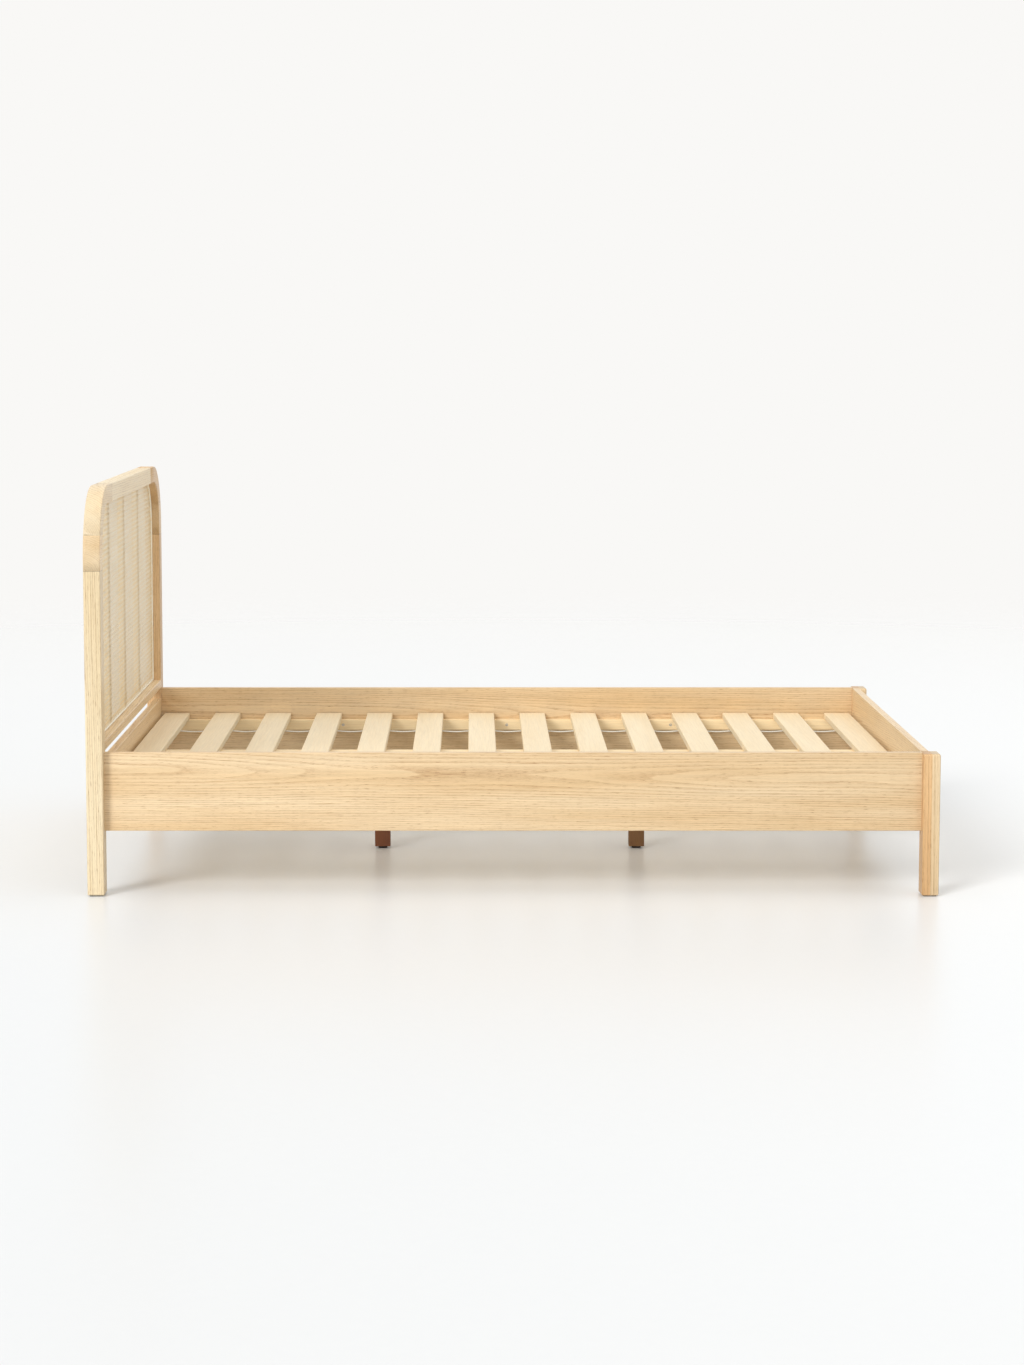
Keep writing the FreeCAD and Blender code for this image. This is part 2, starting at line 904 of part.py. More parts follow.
def dowels():
    """Glued beech dowels in every joint of the headboard and of the foot frame."""
    length = size("dowel_length").value
    half = length / 2
    gap = size("dowel_spacing").value / 2
    margin = size("rail_dowel_margin").value
    count = int(size("rail_dowels_each").value)
    mid_post = (head_back + size("post_depth") / 2).value
    post_y = (left_side + size("post_width") / 2).value
    joints = []
    for side in (1, -1):
        for offset in (-gap, gap):
            y = side * post_y + offset
            joints.append(((0, 0, 1), mid_post, y, size("lower_joint_level").value - half))
            raised = y + side * gap
            joints.append(((0, 0, 1), mid_post, raised, size("upper_joint_level").value - half))
        seam = side * (left_side + size("corner_reach")).value
        rail_middle = top_rail_bottom.value + size("top_rail_height").value / 2
        for offset in (-gap, gap):
            joints.append(((0, 1, 0), mid_post + offset, seam - half, rail_middle))
        shoulder = side * left_post_inner.value - half
        cane_level = (size("cane_rail_bottom") + size("cane_rail_height") / 2).value
        joints += [((0, 1, 0), mid_post + offset, shoulder, cane_level) for offset in (-gap, gap)]
        low = size("rail_bottom").value
        heights = (size("lower_rail_height").value, size("rail_height").value)
        rail_half = size("rail_thickness").value / 2
        places = (head_face.value - rail_half, foot_face.value + rail_half)
        for x, height in zip(places, heights):
            levels = spread(low + margin, low + height - margin, count)
            joints += [((0, 1, 0), x, shoulder, z) for z in levels]
    for number in range(1, column_count):
        y = (left_post_inner + number * column_width).value
        x = (cane_back - size("batten_thickness") / 2).value
        joints += [((0, 0, 1), x, y, level - half) for level in (cane_bottom.value, top_rail_bottom.value)]
    pin = rod("dowel", size("dowel_radius"), size("dowel_length"), 0, 0, 0)
    copies("dowels", pin, [pointing(*joint) for joint in joints])


# ---------------------------------------------------------------- build, check and write


def check_document():
    """Stop if any object of the document failed to compute."""
    for item in doc.Objects:
        if {"Invalid", "Error"} & set(item.State):
            raise RuntimeError(f"{item.Name} failed: {item.State}")


def check_part(part):
    """Stop unless a sub-part is a valid solid with a sound volume."""
    shape = part.Shape
    if shape.isNull() or not shape.isValid() or not shape.Solids:
        raise RuntimeError(f"{part.Label} has no valid solid")
    if min(solid.Volume for solid in shape.Solids) <= 0:
        raise RuntimeError(f"{part.Label} has a solid with no volume")


headboard_frame()
headboard_cross_rails()
headboard_battens()
cane_work()
side_rails()
side_ledgers()
foot_legs()
foot_rail()
felt_pads()
rail_fittings()
centre_beam()
centre_supports()
slatted_base()
wood_screws()
bracket_screws()
dowels()
doc.recompute()
check_document()

os.makedirs("parts", exist_ok=True)
for part in parts:
    check_part(part)
for part in parts:
    part.Shape.exportStep(f"parts/{part.Label}.step")
    box = part.Shape.BoundBox
    solids = len(part.Shape.Solids)
    print(f"{part.Label}: {solids} solids, {box.XLength:.1f} x {box.YLength:.1f} x {box.ZLength:.1f}")
print(f"{len(parts)} sub-parts")
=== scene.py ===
"""The looks of a cane-backed oak bed frame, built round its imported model."""

from __future__ import annotations

import logging
import math
from dataclasses import dataclass, replace
from enum import Enum
from typing import Any, Callable, Iterable, Sequence

import bmesh
import bpy
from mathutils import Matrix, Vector


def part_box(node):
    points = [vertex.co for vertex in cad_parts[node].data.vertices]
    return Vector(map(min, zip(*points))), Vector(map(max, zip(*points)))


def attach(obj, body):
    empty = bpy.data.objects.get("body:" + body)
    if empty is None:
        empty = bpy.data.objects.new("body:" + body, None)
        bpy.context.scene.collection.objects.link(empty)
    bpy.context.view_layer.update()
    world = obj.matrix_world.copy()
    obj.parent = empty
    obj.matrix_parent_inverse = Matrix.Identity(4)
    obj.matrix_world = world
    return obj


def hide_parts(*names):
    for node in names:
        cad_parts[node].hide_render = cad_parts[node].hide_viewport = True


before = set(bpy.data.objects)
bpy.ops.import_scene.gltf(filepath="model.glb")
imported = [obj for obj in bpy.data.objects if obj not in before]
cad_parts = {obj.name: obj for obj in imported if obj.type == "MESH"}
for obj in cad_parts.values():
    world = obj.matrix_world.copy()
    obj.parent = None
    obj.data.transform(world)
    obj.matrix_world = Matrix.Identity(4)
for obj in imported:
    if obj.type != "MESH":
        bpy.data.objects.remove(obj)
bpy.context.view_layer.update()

logging.basicConfig(level=logging.INFO, format="%(name)s: %(message)s")
LOG = logging.getLogger("bed")

MM = 0.001
STRAND_SHADE = "strand_painted_shade"


class Axis(Enum):
    """A direction of the frame, by its index in a vector."""

    X = 0
    Y = 1
    Z = 2


Colour = tuple[float, float, float]
Point = tuple[float, float, float]


def tint(red: int, green: int, blue: int) -> Colour:
    """A colour as the shader wants it, from its everyday eight-bit values.

    Args:
        red: Red, from 0 to 255.
        green: Green, from 0 to 255.
        blue: Blue, from 0 to 255.

    Returns:
        The colour in linear light.
    """

    def linear(level: int) -> float:
        """One channel in linear light."""
        share = level / 255
        return share / 12.92 if share <= 0.04045 else ((share + 0.055) / 1.055) ** 2.4

    return linear(red), linear(green), linear(blue)


# ------------------------------------------------------------------ shader graphs


class Signal:
    """A value socket that Python arithmetic can act on."""

    def __init__(self, graph: Graph, socket: bpy.types.NodeSocket) -> None:
        """Wrap a socket of a graph."""
        self.graph = graph
        self.socket = socket

    def _math(self, operation: str, *values: Any) -> Signal:
        """Add a Math node that works on the given values."""
        inputs = dict(enumerate(values))
        return self.graph.signal("ShaderNodeMath", {"operation": operation}, inputs)

    def __add__(self, other: Any) -> Signal:
        """The sum with another value."""
        return self._math("ADD", self, other)

    def __sub__(self, other: Any) -> Signal:
        """The difference from another value."""
        return self._math("SUBTRACT", self, other)

    def __rsub__(self, other: Any) -> Signal:
        """Another value less this one."""
        return self._math("SUBTRACT", other, self)

    def __mul__(self, other: Any) -> Signal:
        """The product with another value."""
        return self._math("MULTIPLY", self, other)

    def __truediv__(self, other: Any) -> Signal:
        """The quotient by another value."""
        return self._math("DIVIDE", self, other)

    def __pow__(self, other: Any) -> Signal:
        """This value raised to a power."""
        return self._math("POWER", self, other)

    def __abs__(self) -> Signal:
        """The size of this value without its sign."""
        return self._math("ABSOLUTE", self)

    __radd__ = __add__
    __rmul__ = __mul__

    def fraction(self) -> Signal:
        """The part after the point."""
        return self._math("FRACT", self)

    def floor(self) -> Signal:
        """The whole number below."""
        return self._math("FLOOR", self)

    def root(self) -> Signal:
        """The square root."""
        return self._math("SQRT", self)

    def sine(self) -> Signal:
        """The sine."""
        return self._math("SINE", self)

    def largest(self, other: Any) -> Signal:
        """The larger of this and another value."""
        return self._math("MAXIMUM", self, other)

    def smooth(self, low: float, high: float) -> Signal:
        """A soft step from 0 at one value to 1 at another.

        Args:
            low: The value that gives 0.
            high: The value that gives 1.

        Returns:
            The stepped signal.
        """
        settings = {"interpolation_type": "SMOOTHSTEP"}
        return self.graph.signal("ShaderNodeMapRange", settings, {0: self, 1: low, 2: high})


class Graph:
    """Builds the nodes of one tree."""

    def __init__(self, tree: bpy.types.NodeTree) -> None:
        """Start on an emptied tree."""
        self.tree = tree
        self.tree.nodes.clear()

    def node(
        self,
        kind: str,
        settings: dict[str, Any] | None = None,
        inputs: dict[int | str, Any] | None = None,
    ) -> bpy.types.Node:
        """Add a node, set it up, then fill its sockets.

        Args:
            kind: The node's type.
            settings: Its own properties; for a ramp, "stops" holds (place, colour) pairs.
            inputs: Values or links, by socket name or index.

        Returns:
            The node.
        """
        made = self.tree.nodes.new(kind)
        for name, value in (settings or {}).items():
            if name == "stops":
                self._set_stops(made, value)
            else:
                setattr(made, name, value)
        for name, value in (inputs or {}).items():
            socket = made.inputs[name]
            source = value.socket if isinstance(value, Signal) else value
            if isinstance(source, bpy.types.NodeSocket):
                self.tree.links.new(source, socket)
            elif socket.type == "RGBA" and len(source) == 3:
                socket.default_value = (*source, 1.0)
            else:
                socket.default_value = source
        return made

    @staticmethod
    def _set_stops(ramp: bpy.types.Node, stops: Sequence[tuple[float, Colour]]) -> None:
        """Give a colour ramp its stops."""
        elements = ramp.color_ramp.elements
        while len(elements) < len(stops):
            elements.new(0.5)
        for element, (place, colour) in zip(elements, stops):
            element.position = place
            element.color = (*colour, 1.0)

    def signal(
        self,
        kind: str,
        settings: dict[str, Any] | None = None,
        inputs: dict[int | str, Any] | None = None,
        output: int | str = 0,
    ) -> Signal:
        """Add a node and wrap one of its outputs.

        Args:
            kind: The node's type.
            settings: Its own properties.
            inputs: Values or links, by socket name or index.
            output: The output that is wrapped.

        Returns:
            The wrapped output.
        """
        return Signal(self, self.node(kind, settings, inputs).outputs[output])

    def noise(self, vector: Signal, detail: float = 2.0, rough: float = 0.5) -> Signal:
        """Fractal noise, centred on zero, at one cell per unit of the vector."""
        inputs = {"Vector": vector, "Scale": 1.0, "Detail": detail, "Roughness": rough}
        return self.signal("ShaderNodeTexNoise", None, inputs, "Fac") - 0.5

    def vector(self, x: Any, y: Any, z: Any) -> Signal:
        """Three values as one vector."""
        return self.signal("ShaderNodeCombineXYZ", None, {0: x, 1: y, 2: z})

    def blend(self, share: Any, first: Any, second: Any, mode: str = "MIX") -> Signal:
        """Mix two colours."""
        settings = {"data_type": "RGBA", "blend_type": mode}
        return self.signal("ShaderNodeMix", settings, {0: share, 6: first, 7: second}, 2)

    def place(self) -> tuple[Signal, Signal, Signal]:
        """The point being shaded, in the piece's own metres."""
        coordinates = self.node("ShaderNodeTexCoord").outputs["Object"]
        parts = self.node("ShaderNodeSeparateXYZ", None, {0: coordinates}).outputs
        return Signal(self, parts[0]), Signal(self, parts[1]), Signal(self, parts[2])

    def facing(self, axis: Axis) -> Signal:
        """How far the surface faces along an axis, from 0 to 1."""
        normal = self.node("ShaderNodeTexCoord").outputs["Normal"]
        parts = self.node("ShaderNodeSeparateXYZ", None, {0: normal}).outputs
        return abs(Signal(self, parts[axis.value]))

    def bump(self, height: Signal, distance: float, strength: float = 1.0) -> Signal:
        """A surface normal raised by a height from 0 to 1 over a distance in metres."""
        inputs = {"Height": height, "Distance": distance, "Strength": strength}
        return self.signal("ShaderNodeBump", None, inputs)

    def surface(self, inputs: dict[str, Any]) -> None:
        """Finish the tree with a Principled surface."""
        shader = self.node("ShaderNodeBsdfPrincipled", None, inputs)
        self.node("ShaderNodeOutputMaterial", None, {"Surface": shader.outputs[0]})


def new_material(name: str, paint: Callable[[Graph], None]) -> bpy.types.Material:
    """Make a material whose tree a function fills.

    Args:
        name: The material's name.
        paint: Called with the graph of the material's tree.

    Returns:
        The material.
    """
    material = bpy.data.materials.new(name)
    material.use_nodes = True
    paint(Graph(material.node_tree))
    return material


# ------------------------------------------------------------------ finishes


@dataclass(frozen=True)
class Timber:
    """A solid timber, cut from a log whose heart lies beside the board.

    The rings, pores and fibres are worked out in space, so long faces show the cathedral and
    straight grain of the same board whose ends show its rings.
    """

    pale: Colour
    deep: Colour
    line: Colour
    pore: Colour
    ring_mm: float = 3.4
    line_strength: float = 0.55
    pore_strength: float = 0.5
    band_strength: float = 0.5
    fibre_strength: float = 0.34
    waviness_mm: float = 9.0
    roughness: float = 0.46
    end_shade: float = 0.16
    pore_depth: float = 0.00012

    def paint(self, graph: Graph, cut: Cut, centre: Point) -> None:
        """Fill a tree with this timber, cut as one board.

        Args:
            graph: The tree to fill.
            cut: How the board lies in its log.
            centre: The board's centre, in metres.
        """
        spots = list(graph.place())
        shift: Any = cut.seed * 37.0
        stray: Any = 0.0
        if cut.repeat:
            turn = (spots[0] - cut.repeat_from) / cut.repeat
            spots[0] = (turn.fraction() - 0.5) * cut.repeat + centre[0]
            number = turn.floor()
            shift = number * 13.7 + shift
            inputs = {"Vector": graph.vector(number, 3.0, 7.0)}
            stray = graph.signal("ShaderNodeTexWhiteNoise", None, inputs) * 60.0 - 30.0
        order = [cut.grain.value, (cut.grain.value + 1) % 3, (cut.grain.value + 2) % 3]
        along, across, through = [(spots[axis] - centre[axis]) * (1 / MM) for axis in order]
        slow = graph.vector(along * 0.0013 + shift, across * 0.009, through * 0.009 + shift)
        sway = graph.noise(slow, 1.0) * (2 * self.waviness_mm * cut.figure)
        quick = graph.vector(along * 0.006, across * 0.05 + shift, through * 0.05)
        quiver = graph.noise(quick, 2.0) * (0.8 * self.ring_mm)
        heart_across, heart_through = cut.heart_mm
        lean_across, lean_through = cut.lean
        side = across + along * lean_across + heart_across + sway + stray
        deep = through + along * lean_through + heart_through
        if cut.swell:
            side = side + cut.swell.shift(along)
        radius = (side * side + deep * deep).root() + quiver
        growth = graph.vector(radius * 0.05, 0.0, shift)
        rings = radius / (self.ring_mm * cut.ring_scale) + graph.noise(growth, 2.0) * 1.5
        phase = rings.fraction()
        early = (1 - phase) ** 2.2 * phase.smooth(0.0, 0.06)
        uneven = graph.vector(rings.floor() * 7.3, along * 0.003, shift)
        vigour = graph.noise(uneven, 1.0).smooth(-0.25, 0.3)
        hair = graph.vector(along * 0.016, across * 0.8 + shift, through * 0.8)
        broken = graph.noise(hair, 3.0, 0.7).smooth(-0.16, 0.2)
        lines = early * (vigour * 0.75 + 0.25) * (broken * 0.85 + 0.15)
        broad = graph.vector(along * 0.0011 + shift, across * 0.016, through * 0.016 + shift)
        bands = graph.noise(broad, 3.0, 0.55).smooth(-0.28, 0.28)
        fine = graph.vector(along * 0.007, across * 0.24 + shift, through * 0.24)
        fibre = graph.noise(fine, 4.0, 0.72)
        streak = graph.vector(along * 0.045, across * 1.1, through * 1.1 + shift)
        pores = graph.noise(streak, 2.0, 0.6).smooth(0.06, 0.16) * (early * 0.8 + 0.2)
        body = graph.blend(bands * self.band_strength, self.pale, self.deep)
        lined = graph.blend(lines * (self.line_strength * cut.contrast), body, self.line)
        pored = graph.blend(pores * (self.pore_strength * cut.contrast), lined, self.pore)
        ends = graph.facing(cut.grain).smooth(0.6, 0.95)
        level = 1.0 + fibre * self.fibre_strength - ends * self.end_shade
        warmth: Any = cut.warmth
        for lamella in cut.lamellas:
            mask = lamella.mask(spots)
            level = level + mask * lamella.tone
            warmth = mask * lamella.warmth + warmth
        # The painted shade slope darkens a board along its length, as the light falls off away
        # from its source.
        level = (level + cut.tone + along * (cut.painted_shade_slope * MM)) * cut.seams(spots)
        shade = graph.vector(level, level - warmth * 0.5, level - warmth)
        colour = graph.blend(1.0, pored, shade, "MULTIPLY")
        rough = fibre * 0.12 + self.roughness + pores * 0.12
        height = 1 - pores * 0.8 + fibre * 0.25
        graph.surface(
            {
                "Base Color": colour,
                "Roughness": rough,
                "IOR": 1.47,
                "Normal": graph.bump(height, self.pore_depth, 0.6),
            }
        )


@dataclass(frozen=True)
class Seam:
    """A dark hairline where two boards meet, across one axis."""

    axis: Axis
    at: float
    width: float = 0.0007
    depth: float = 0.45


@dataclass(frozen=True)
class Lamella:
    """A change of tone and warmth on the far side of a glue line in a laminated leg."""

    axis: Axis
    at: float
    tone: float
    warmth: float

    def mask(self, spots: Sequence[Signal]) -> Signal:
        """0 on the near side of the glue line and 1 on the far side."""
        return (spots[self.axis.value] - self.at).smooth(-0.0005, 0.0005)


@dataclass(frozen=True)
class Swell:
    """A crook in the log that takes its heart away from the board and part of the way back."""

    peak_mm: float
    rise_mm: float
    fall_mm: float
    height_mm: float
    drop_mm: float

    def shift(self, along: Signal) -> Signal:
        """How far the heart has moved at each point along the board, in millimetres."""
        climb = along.smooth(self.peak_mm - self.rise_mm, self.peak_mm) * self.height_mm
        return climb - along.smooth(self.peak_mm, self.peak_mm + self.fall_mm) * self.drop_mm


@dataclass(frozen=True)
class Cut:
    """How one board lies in its log, what sets it apart from its neighbours, and any painted shade
    it carries.
    """

    grain: Axis
    seed: float
    heart_mm: tuple[float, float] = (70.0, 20.0)
    lean: tuple[float, float] = (0.012, 0.004)
    swell: Swell | None = None
    figure: float = 1.0
    ring_scale: float = 1.0
    contrast: float = 1.0
    tone: float = 0.0
    warmth: float = 0.0
    joints: tuple[Seam, ...] = ()
    lamellas: tuple[Lamella, ...] = ()
    # Painted shade: how much darker the board grows per metre along its length, where the light
    # falls off.
    painted_shade_slope: float = 0.0
    repeat: float = 0.0
    repeat_from: float = 0.0

    def seams(self, spots: Sequence[Signal]) -> Signal | float:
        """How much the dark hairlines at the board's joints leave of each point's tone."""
        level: Signal | float = 1.0
        for seam in self.joints:
            gap = abs(spots[seam.axis.value] - seam.at).smooth(0.0, seam.width)
            level = level * (gap * seam.depth + (1 - seam.depth))
        return level


OAK = Timber(
    pale=tint(241, 217, 178),
    deep=tint(226, 193, 144),
    line=tint(170, 122, 70),
    pore=tint(150, 104, 60),
    ring_mm=4.6,
    line_strength=1.0,
    pore_strength=0.8,
    band_strength=0.8,
    roughness=0.38,
)
SPRUCE = Timber(
    pale=tint(244, 222, 180),
    deep=tint(236, 205, 155),
    line=tint(214, 168, 110),
    pore=tint(200, 160, 110),
    ring_mm=4.2,
    pore_strength=0.12,
    roughness=0.6,
)
BIRCH = Timber(
    pale=tint(240, 223, 190),
    deep=tint(231, 207, 166),
    line=tint(222, 190, 142),
    pore=tint(205, 170, 122),
    ring_mm=5.0,
    line_strength=0.35,
    pore_strength=0.2,
    roughness=0.55,
)
STAINED = Timber(
    pale=tint(126, 75, 44),
    deep=tint(98, 55, 32),
    line=tint(66, 34, 24),
    pore=tint(40, 22, 16),
    ring_mm=2.6,
    roughness=0.42,
)
FUMED = replace(STAINED, pale=tint(134, 96, 56), deep=tint(104, 70, 40))
BEECH = replace(BIRCH, pale=tint(226, 190, 148), deep=tint(212, 172, 128))


@dataclass(frozen=True)
class CaneSkin:
    """Glossy split rattan, varied from strand to strand and speckled along its length, with
    painted shade on the uprights, the diagonals and the cane over the battens.
    """

    pale: Colour = tint(255, 253, 240)
    deep: Colour = tint(250, 236, 206)
    fleck: Colour = tint(190, 150, 98)
    # Painted shade: the uprights and diagonals are tinted towards this colour because they turn
    # away from the light, and so is the cane over the battens.
    painted_shade_colour: Colour = tint(240, 214, 162)
    pitch: float = 0.0127
    roughness: float = 0.34
    batten_shade_places: tuple[float, ...] = ()
    batten_shade_reach: float = 0.02
    batten_shade_depth: float = 0.45

    def paint(self, graph: Graph) -> None:
        """Fill a tree with cane.

        Args:
            graph: The tree to fill.
        """
        _, across, up = graph.place()
        strands = graph.vector((across / self.pitch).floor(), (up / self.pitch).floor(), 3.0)
        strand = graph.signal("ShaderNodeTexWhiteNoise", None, {"Vector": strands})
        broad = graph.noise(graph.vector(across * 9.0, up * 9.0, 1.0), 3.0)
        fine = graph.noise(graph.vector(across * 900.0, up * 900.0, 5.0), 2.0)
        tone = (broad * 1.1 + strand * 0.35 + 0.28 + fine * 0.35).smooth(0.0, 1.0)
        skin = graph.blend(tone, self.pale, self.deep)
        settings = {"attribute_name": STRAND_SHADE}
        # The strand attribute picks out the uprights and diagonals for painted shade.
        strand_shading = graph.signal("ShaderNodeAttribute", settings, None, "Fac")
        skin = graph.blend(strand_shading, skin, self.painted_shade_colour)
        # Painted shade: the cane over each batten is darkened, because the batten behind it stands
        # in shade.
        for place in self.batten_shade_places:
            near = 1 - (abs(across - place) / self.batten_shade_reach).smooth(0.8, 1.2)
            skin = graph.blend(near * self.batten_shade_depth, skin, self.painted_shade_colour)
        spots = graph.noise(graph.vector(across * 260.0, up * 260.0, 9.0), 1.0).smooth(0.2, 0.3)
        colour = graph.blend(spots * 0.4, skin, self.fleck)
        graph.surface(
            {
                "Base Color": colour,
                "Roughness": fine * 0.2 + self.roughness,
                "IOR": 1.5,
                "Normal": graph.bump(fine, 0.0001, 0.5),
            }
        )


@dataclass(frozen=True)
class Plated:
    """Bright zinc plate, faintly mottled."""

    colour: Colour = tint(196, 198, 202)
    mottle: Colour = tint(158, 160, 166)

    def paint(self, graph: Graph) -> None:
        """Fill a tree with plated steel."""
        x, y, z = graph.place()
        cloud = graph.noise(graph.vector(x * 120.0, y * 120.0, z * 120.0), 4.0, 0.6)
        grit = graph.noise(graph.vector(x * 2600.0, y * 2600.0, z * 2600.0), 2.0)
        graph.surface(
            {
                "Base Color": graph.blend(cloud.smooth(-0.3, 0.3), self.colour, self.mottle),
                "Metallic": 1.0,
                "Roughness": cloud * 0.25 + 0.34,
                "Normal": graph.bump(grit, 0.00004, 0.5),
            }
        )


@dataclass(frozen=True)
class Moulded:
    """Black moulded plastic with a fine spark texture."""

    colour: Colour = tint(34, 34, 35)
    worn: Colour = tint(70, 70, 70)

    def paint(self, graph: Graph) -> None:
        """Fill a tree with moulded plastic."""
        x, y, z = graph.place()
        grain = graph.noise(graph.vector(x * 3200.0, y * 3200.0, z * 3200.0), 2.0)
        worn = graph.noise(graph.vector(x * 160.0, y * 160.0, z * 160.0), 3.0)
        colour = graph.blend(worn.smooth(-0.2, 0.5) * 0.3, self.colour, self.worn)
        graph.surface(
            {
                "Base Color": colour,
                "Roughness": worn * 0.2 + 0.5,
                "Normal": graph.bump(grain, 0.00008, 0.6),
            }
        )


@dataclass(frozen=True)
class Felt:
    """Pressed grey wool felt."""

    pale: Colour = tint(170, 166, 158)
    dark: Colour = tint(108, 104, 98)

    def paint(self, graph: Graph) -> None:
        """Fill a tree with felt."""
        x, y, z = graph.place()
        fibre = graph.noise(graph.vector(x * 700.0, y * 700.0, z * 900.0), 5.0, 0.7)
        tuft = graph.noise(graph.vector(x * 140.0, y * 140.0, z * 200.0), 3.0)
        tone = (fibre + tuft * 0.6).smooth(-0.3, 0.3)
        graph.surface(
            {
                "Base Color": graph.blend(tone, self.dark, self.pale),
                "Roughness": fibre * 0.1 + 0.92,
                "Normal": graph.bump(fibre, 0.0004, 0.8),
                "Sheen Weight": 0.3,
            }
        )


@dataclass(frozen=True)
class Tape:
    """Herringbone cotton tape, woven along X."""

    pale: Colour = tint(238, 233, 220)
    dark: Colour = tint(186, 178, 160)
    thread: float = 0.0009

    def paint(self, graph: Graph) -> None:
        """Fill a tree with cotton tape.

        Args:
            graph: The tree to fill.
        """
        x, y, z = graph.place()
        rib = (y / (self.thread * 2)).fraction()
        zigzag = abs(y / (self.thread * 6) - (y / (self.thread * 6)).floor() - 0.5)
        twill = ((x / self.thread + zigzag * 6.0) * math.pi).sine() * 0.5 + 0.5
        edge = abs(rib - 0.5) * 2.0
        fuzz = graph.noise(graph.vector(x * 1500.0, y * 1500.0, z * 1500.0), 3.0)
        weave = twill * 0.75 + edge * 0.25
        graph.surface(
            {
                "Base Color": graph.blend(weave + fuzz * 0.4, self.dark, self.pale),
                "Roughness": fuzz * 0.1 + 0.88,
                "Normal": graph.bump(weave + fuzz * 0.3, 0.0003, 0.9),
                "Sheen Weight": 0.2,
            }
        )


# ------------------------------------------------------------------ meshes


def new_object(
    name: str, mesh: bpy.types.Mesh, *materials: bpy.types.Material
) -> bpy.types.Object:
    """Put a mesh in the scene, smooth where its faces nearly line up.

    Args:
        name: The piece's name.
        mesh: Its mesh, already in place.
        materials: Its finishes, in the order of the faces' numbers.

    Returns:
        The new object.
    """
    piece = bpy.data.objects.new(name, mesh)
    bpy.context.scene.collection.objects.link(piece)
    mesh.materials.clear()
    for material in materials:
        mesh.materials.append(material)
    mesh.shade_smooth()
    mesh.set_sharp_from_angle(angle=math.radians(32))
    return piece


def mesh_of(name: str, build: Callable[[bmesh.types.BMesh], None]) -> bpy.types.Mesh:
    """A mesh that a function fills, with its faces turned outwards.

    Args:
        name: The mesh's name.
        build: Called with the empty bmesh.

    Returns:
        The finished mesh.
    """
    work = bmesh.new()
    build(work)
    bmesh.ops.remove_doubles(work, verts=work.verts, dist=1e-6)
    bmesh.ops.recalc_face_normals(work, faces=work.faces)
    mesh = bpy.data.meshes.new(name)
    work.to_mesh(mesh)
    work.free()
    return mesh


def merged_copy(node: str, name: str) -> bpy.types.Mesh:
    """A copy of a CAD node's mesh, with its loose triangles joined up."""
    work = bmesh.new()
    work.from_mesh(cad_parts[node].data)
    bmesh.ops.remove_doubles(work, verts=work.verts, dist=2e-6)
    flat = math.radians(0.2)
    bmesh.ops.dissolve_limit(work, angle_limit=flat, verts=work.verts, edges=work.edges)
    bmesh.ops.triangulate(work, faces=[face for face in work.faces if len(face.verts) > 4])
    mesh = bpy.data.meshes.new(name)
    work.to_mesh(mesh)
    work.free()
    return mesh


def grid_faces(
    work: bmesh.types.BMesh, rows: Sequence[Sequence[bmesh.types.BMVert]], closed: bool
) -> None:
    """Join rows of vertices into quads; closed also joins each row's ends."""
    for first, second in zip(rows, rows[1:]):
        count = len(first)
        for step in range(count if closed else count - 1):
            after = (step + 1) % count
            work.faces.new((first[step], first[after], second[after], second[step]))


@dataclass(frozen=True)
class Lathe:
    """A turned shape: radii and heights of its profile, closed on the axis at both ends."""

    profile: Sequence[tuple[float, float]]
    sides: int = 48
    ripple: Callable[[float, float], float] | None = None

    def build(self, work: bmesh.types.BMesh, centre: Point) -> None:
        """Add the shape to a bmesh, standing on Z over a point."""
        rows = []
        for radius, height in self.profile:
            row = []
            for side in range(self.sides):
                turn = side / self.sides * math.tau
                reach = radius + (self.ripple(turn, height) if self.ripple and radius else 0.0)
                x, y = math.cos(turn) * reach, math.sin(turn) * reach
                row.append(work.verts.new((centre[0] + x, centre[1] + y, centre[2] + height)))
            rows.append(row)
        grid_faces(work, rows, closed=True)
        for row in (rows[0], rows[-1]):
            work.faces.new(row)


@dataclass
class Piece:
    """What every finished piece says to the frame."""

    name: str
    slot: str
    nodes: tuple[str, ...]
    body: str = "frame"

    def declare(self, made: bpy.types.Object) -> bpy.types.Object:
        """Hang a piece on its body, in place of the nodes it stands for."""
        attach(made, self.body)
        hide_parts(*self.nodes)
        LOG.info("%s stands for %s on %s", self.name, ", ".join(self.nodes), self.body)
        return made


def middle_of(node: str) -> Point:
    """The middle of a CAD node's box."""
    low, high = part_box(node)
    return tuple((low + high) / 2)


@dataclass
class Board:
    """One timber board of the frame, in its own cut of wood."""

    node: str
    timber: Timber
    cut: Cut
    slot: str = "oak"
    body: str = "frame"

    def build(self) -> bpy.types.Object:
        """Make the board and dress it.

        Returns:
            The finished board.
        """
        name = f"{self.node}_board"
        centre = middle_of(self.node)
        finish = new_material(name, lambda graph: self.timber.paint(graph, self.cut, centre))
        made = new_object(name, merged_copy(self.node, name), finish)
        return Piece(name, self.slot, (self.node,), self.body).declare(made)


# ------------------------------------------------------------------ geometry nodes


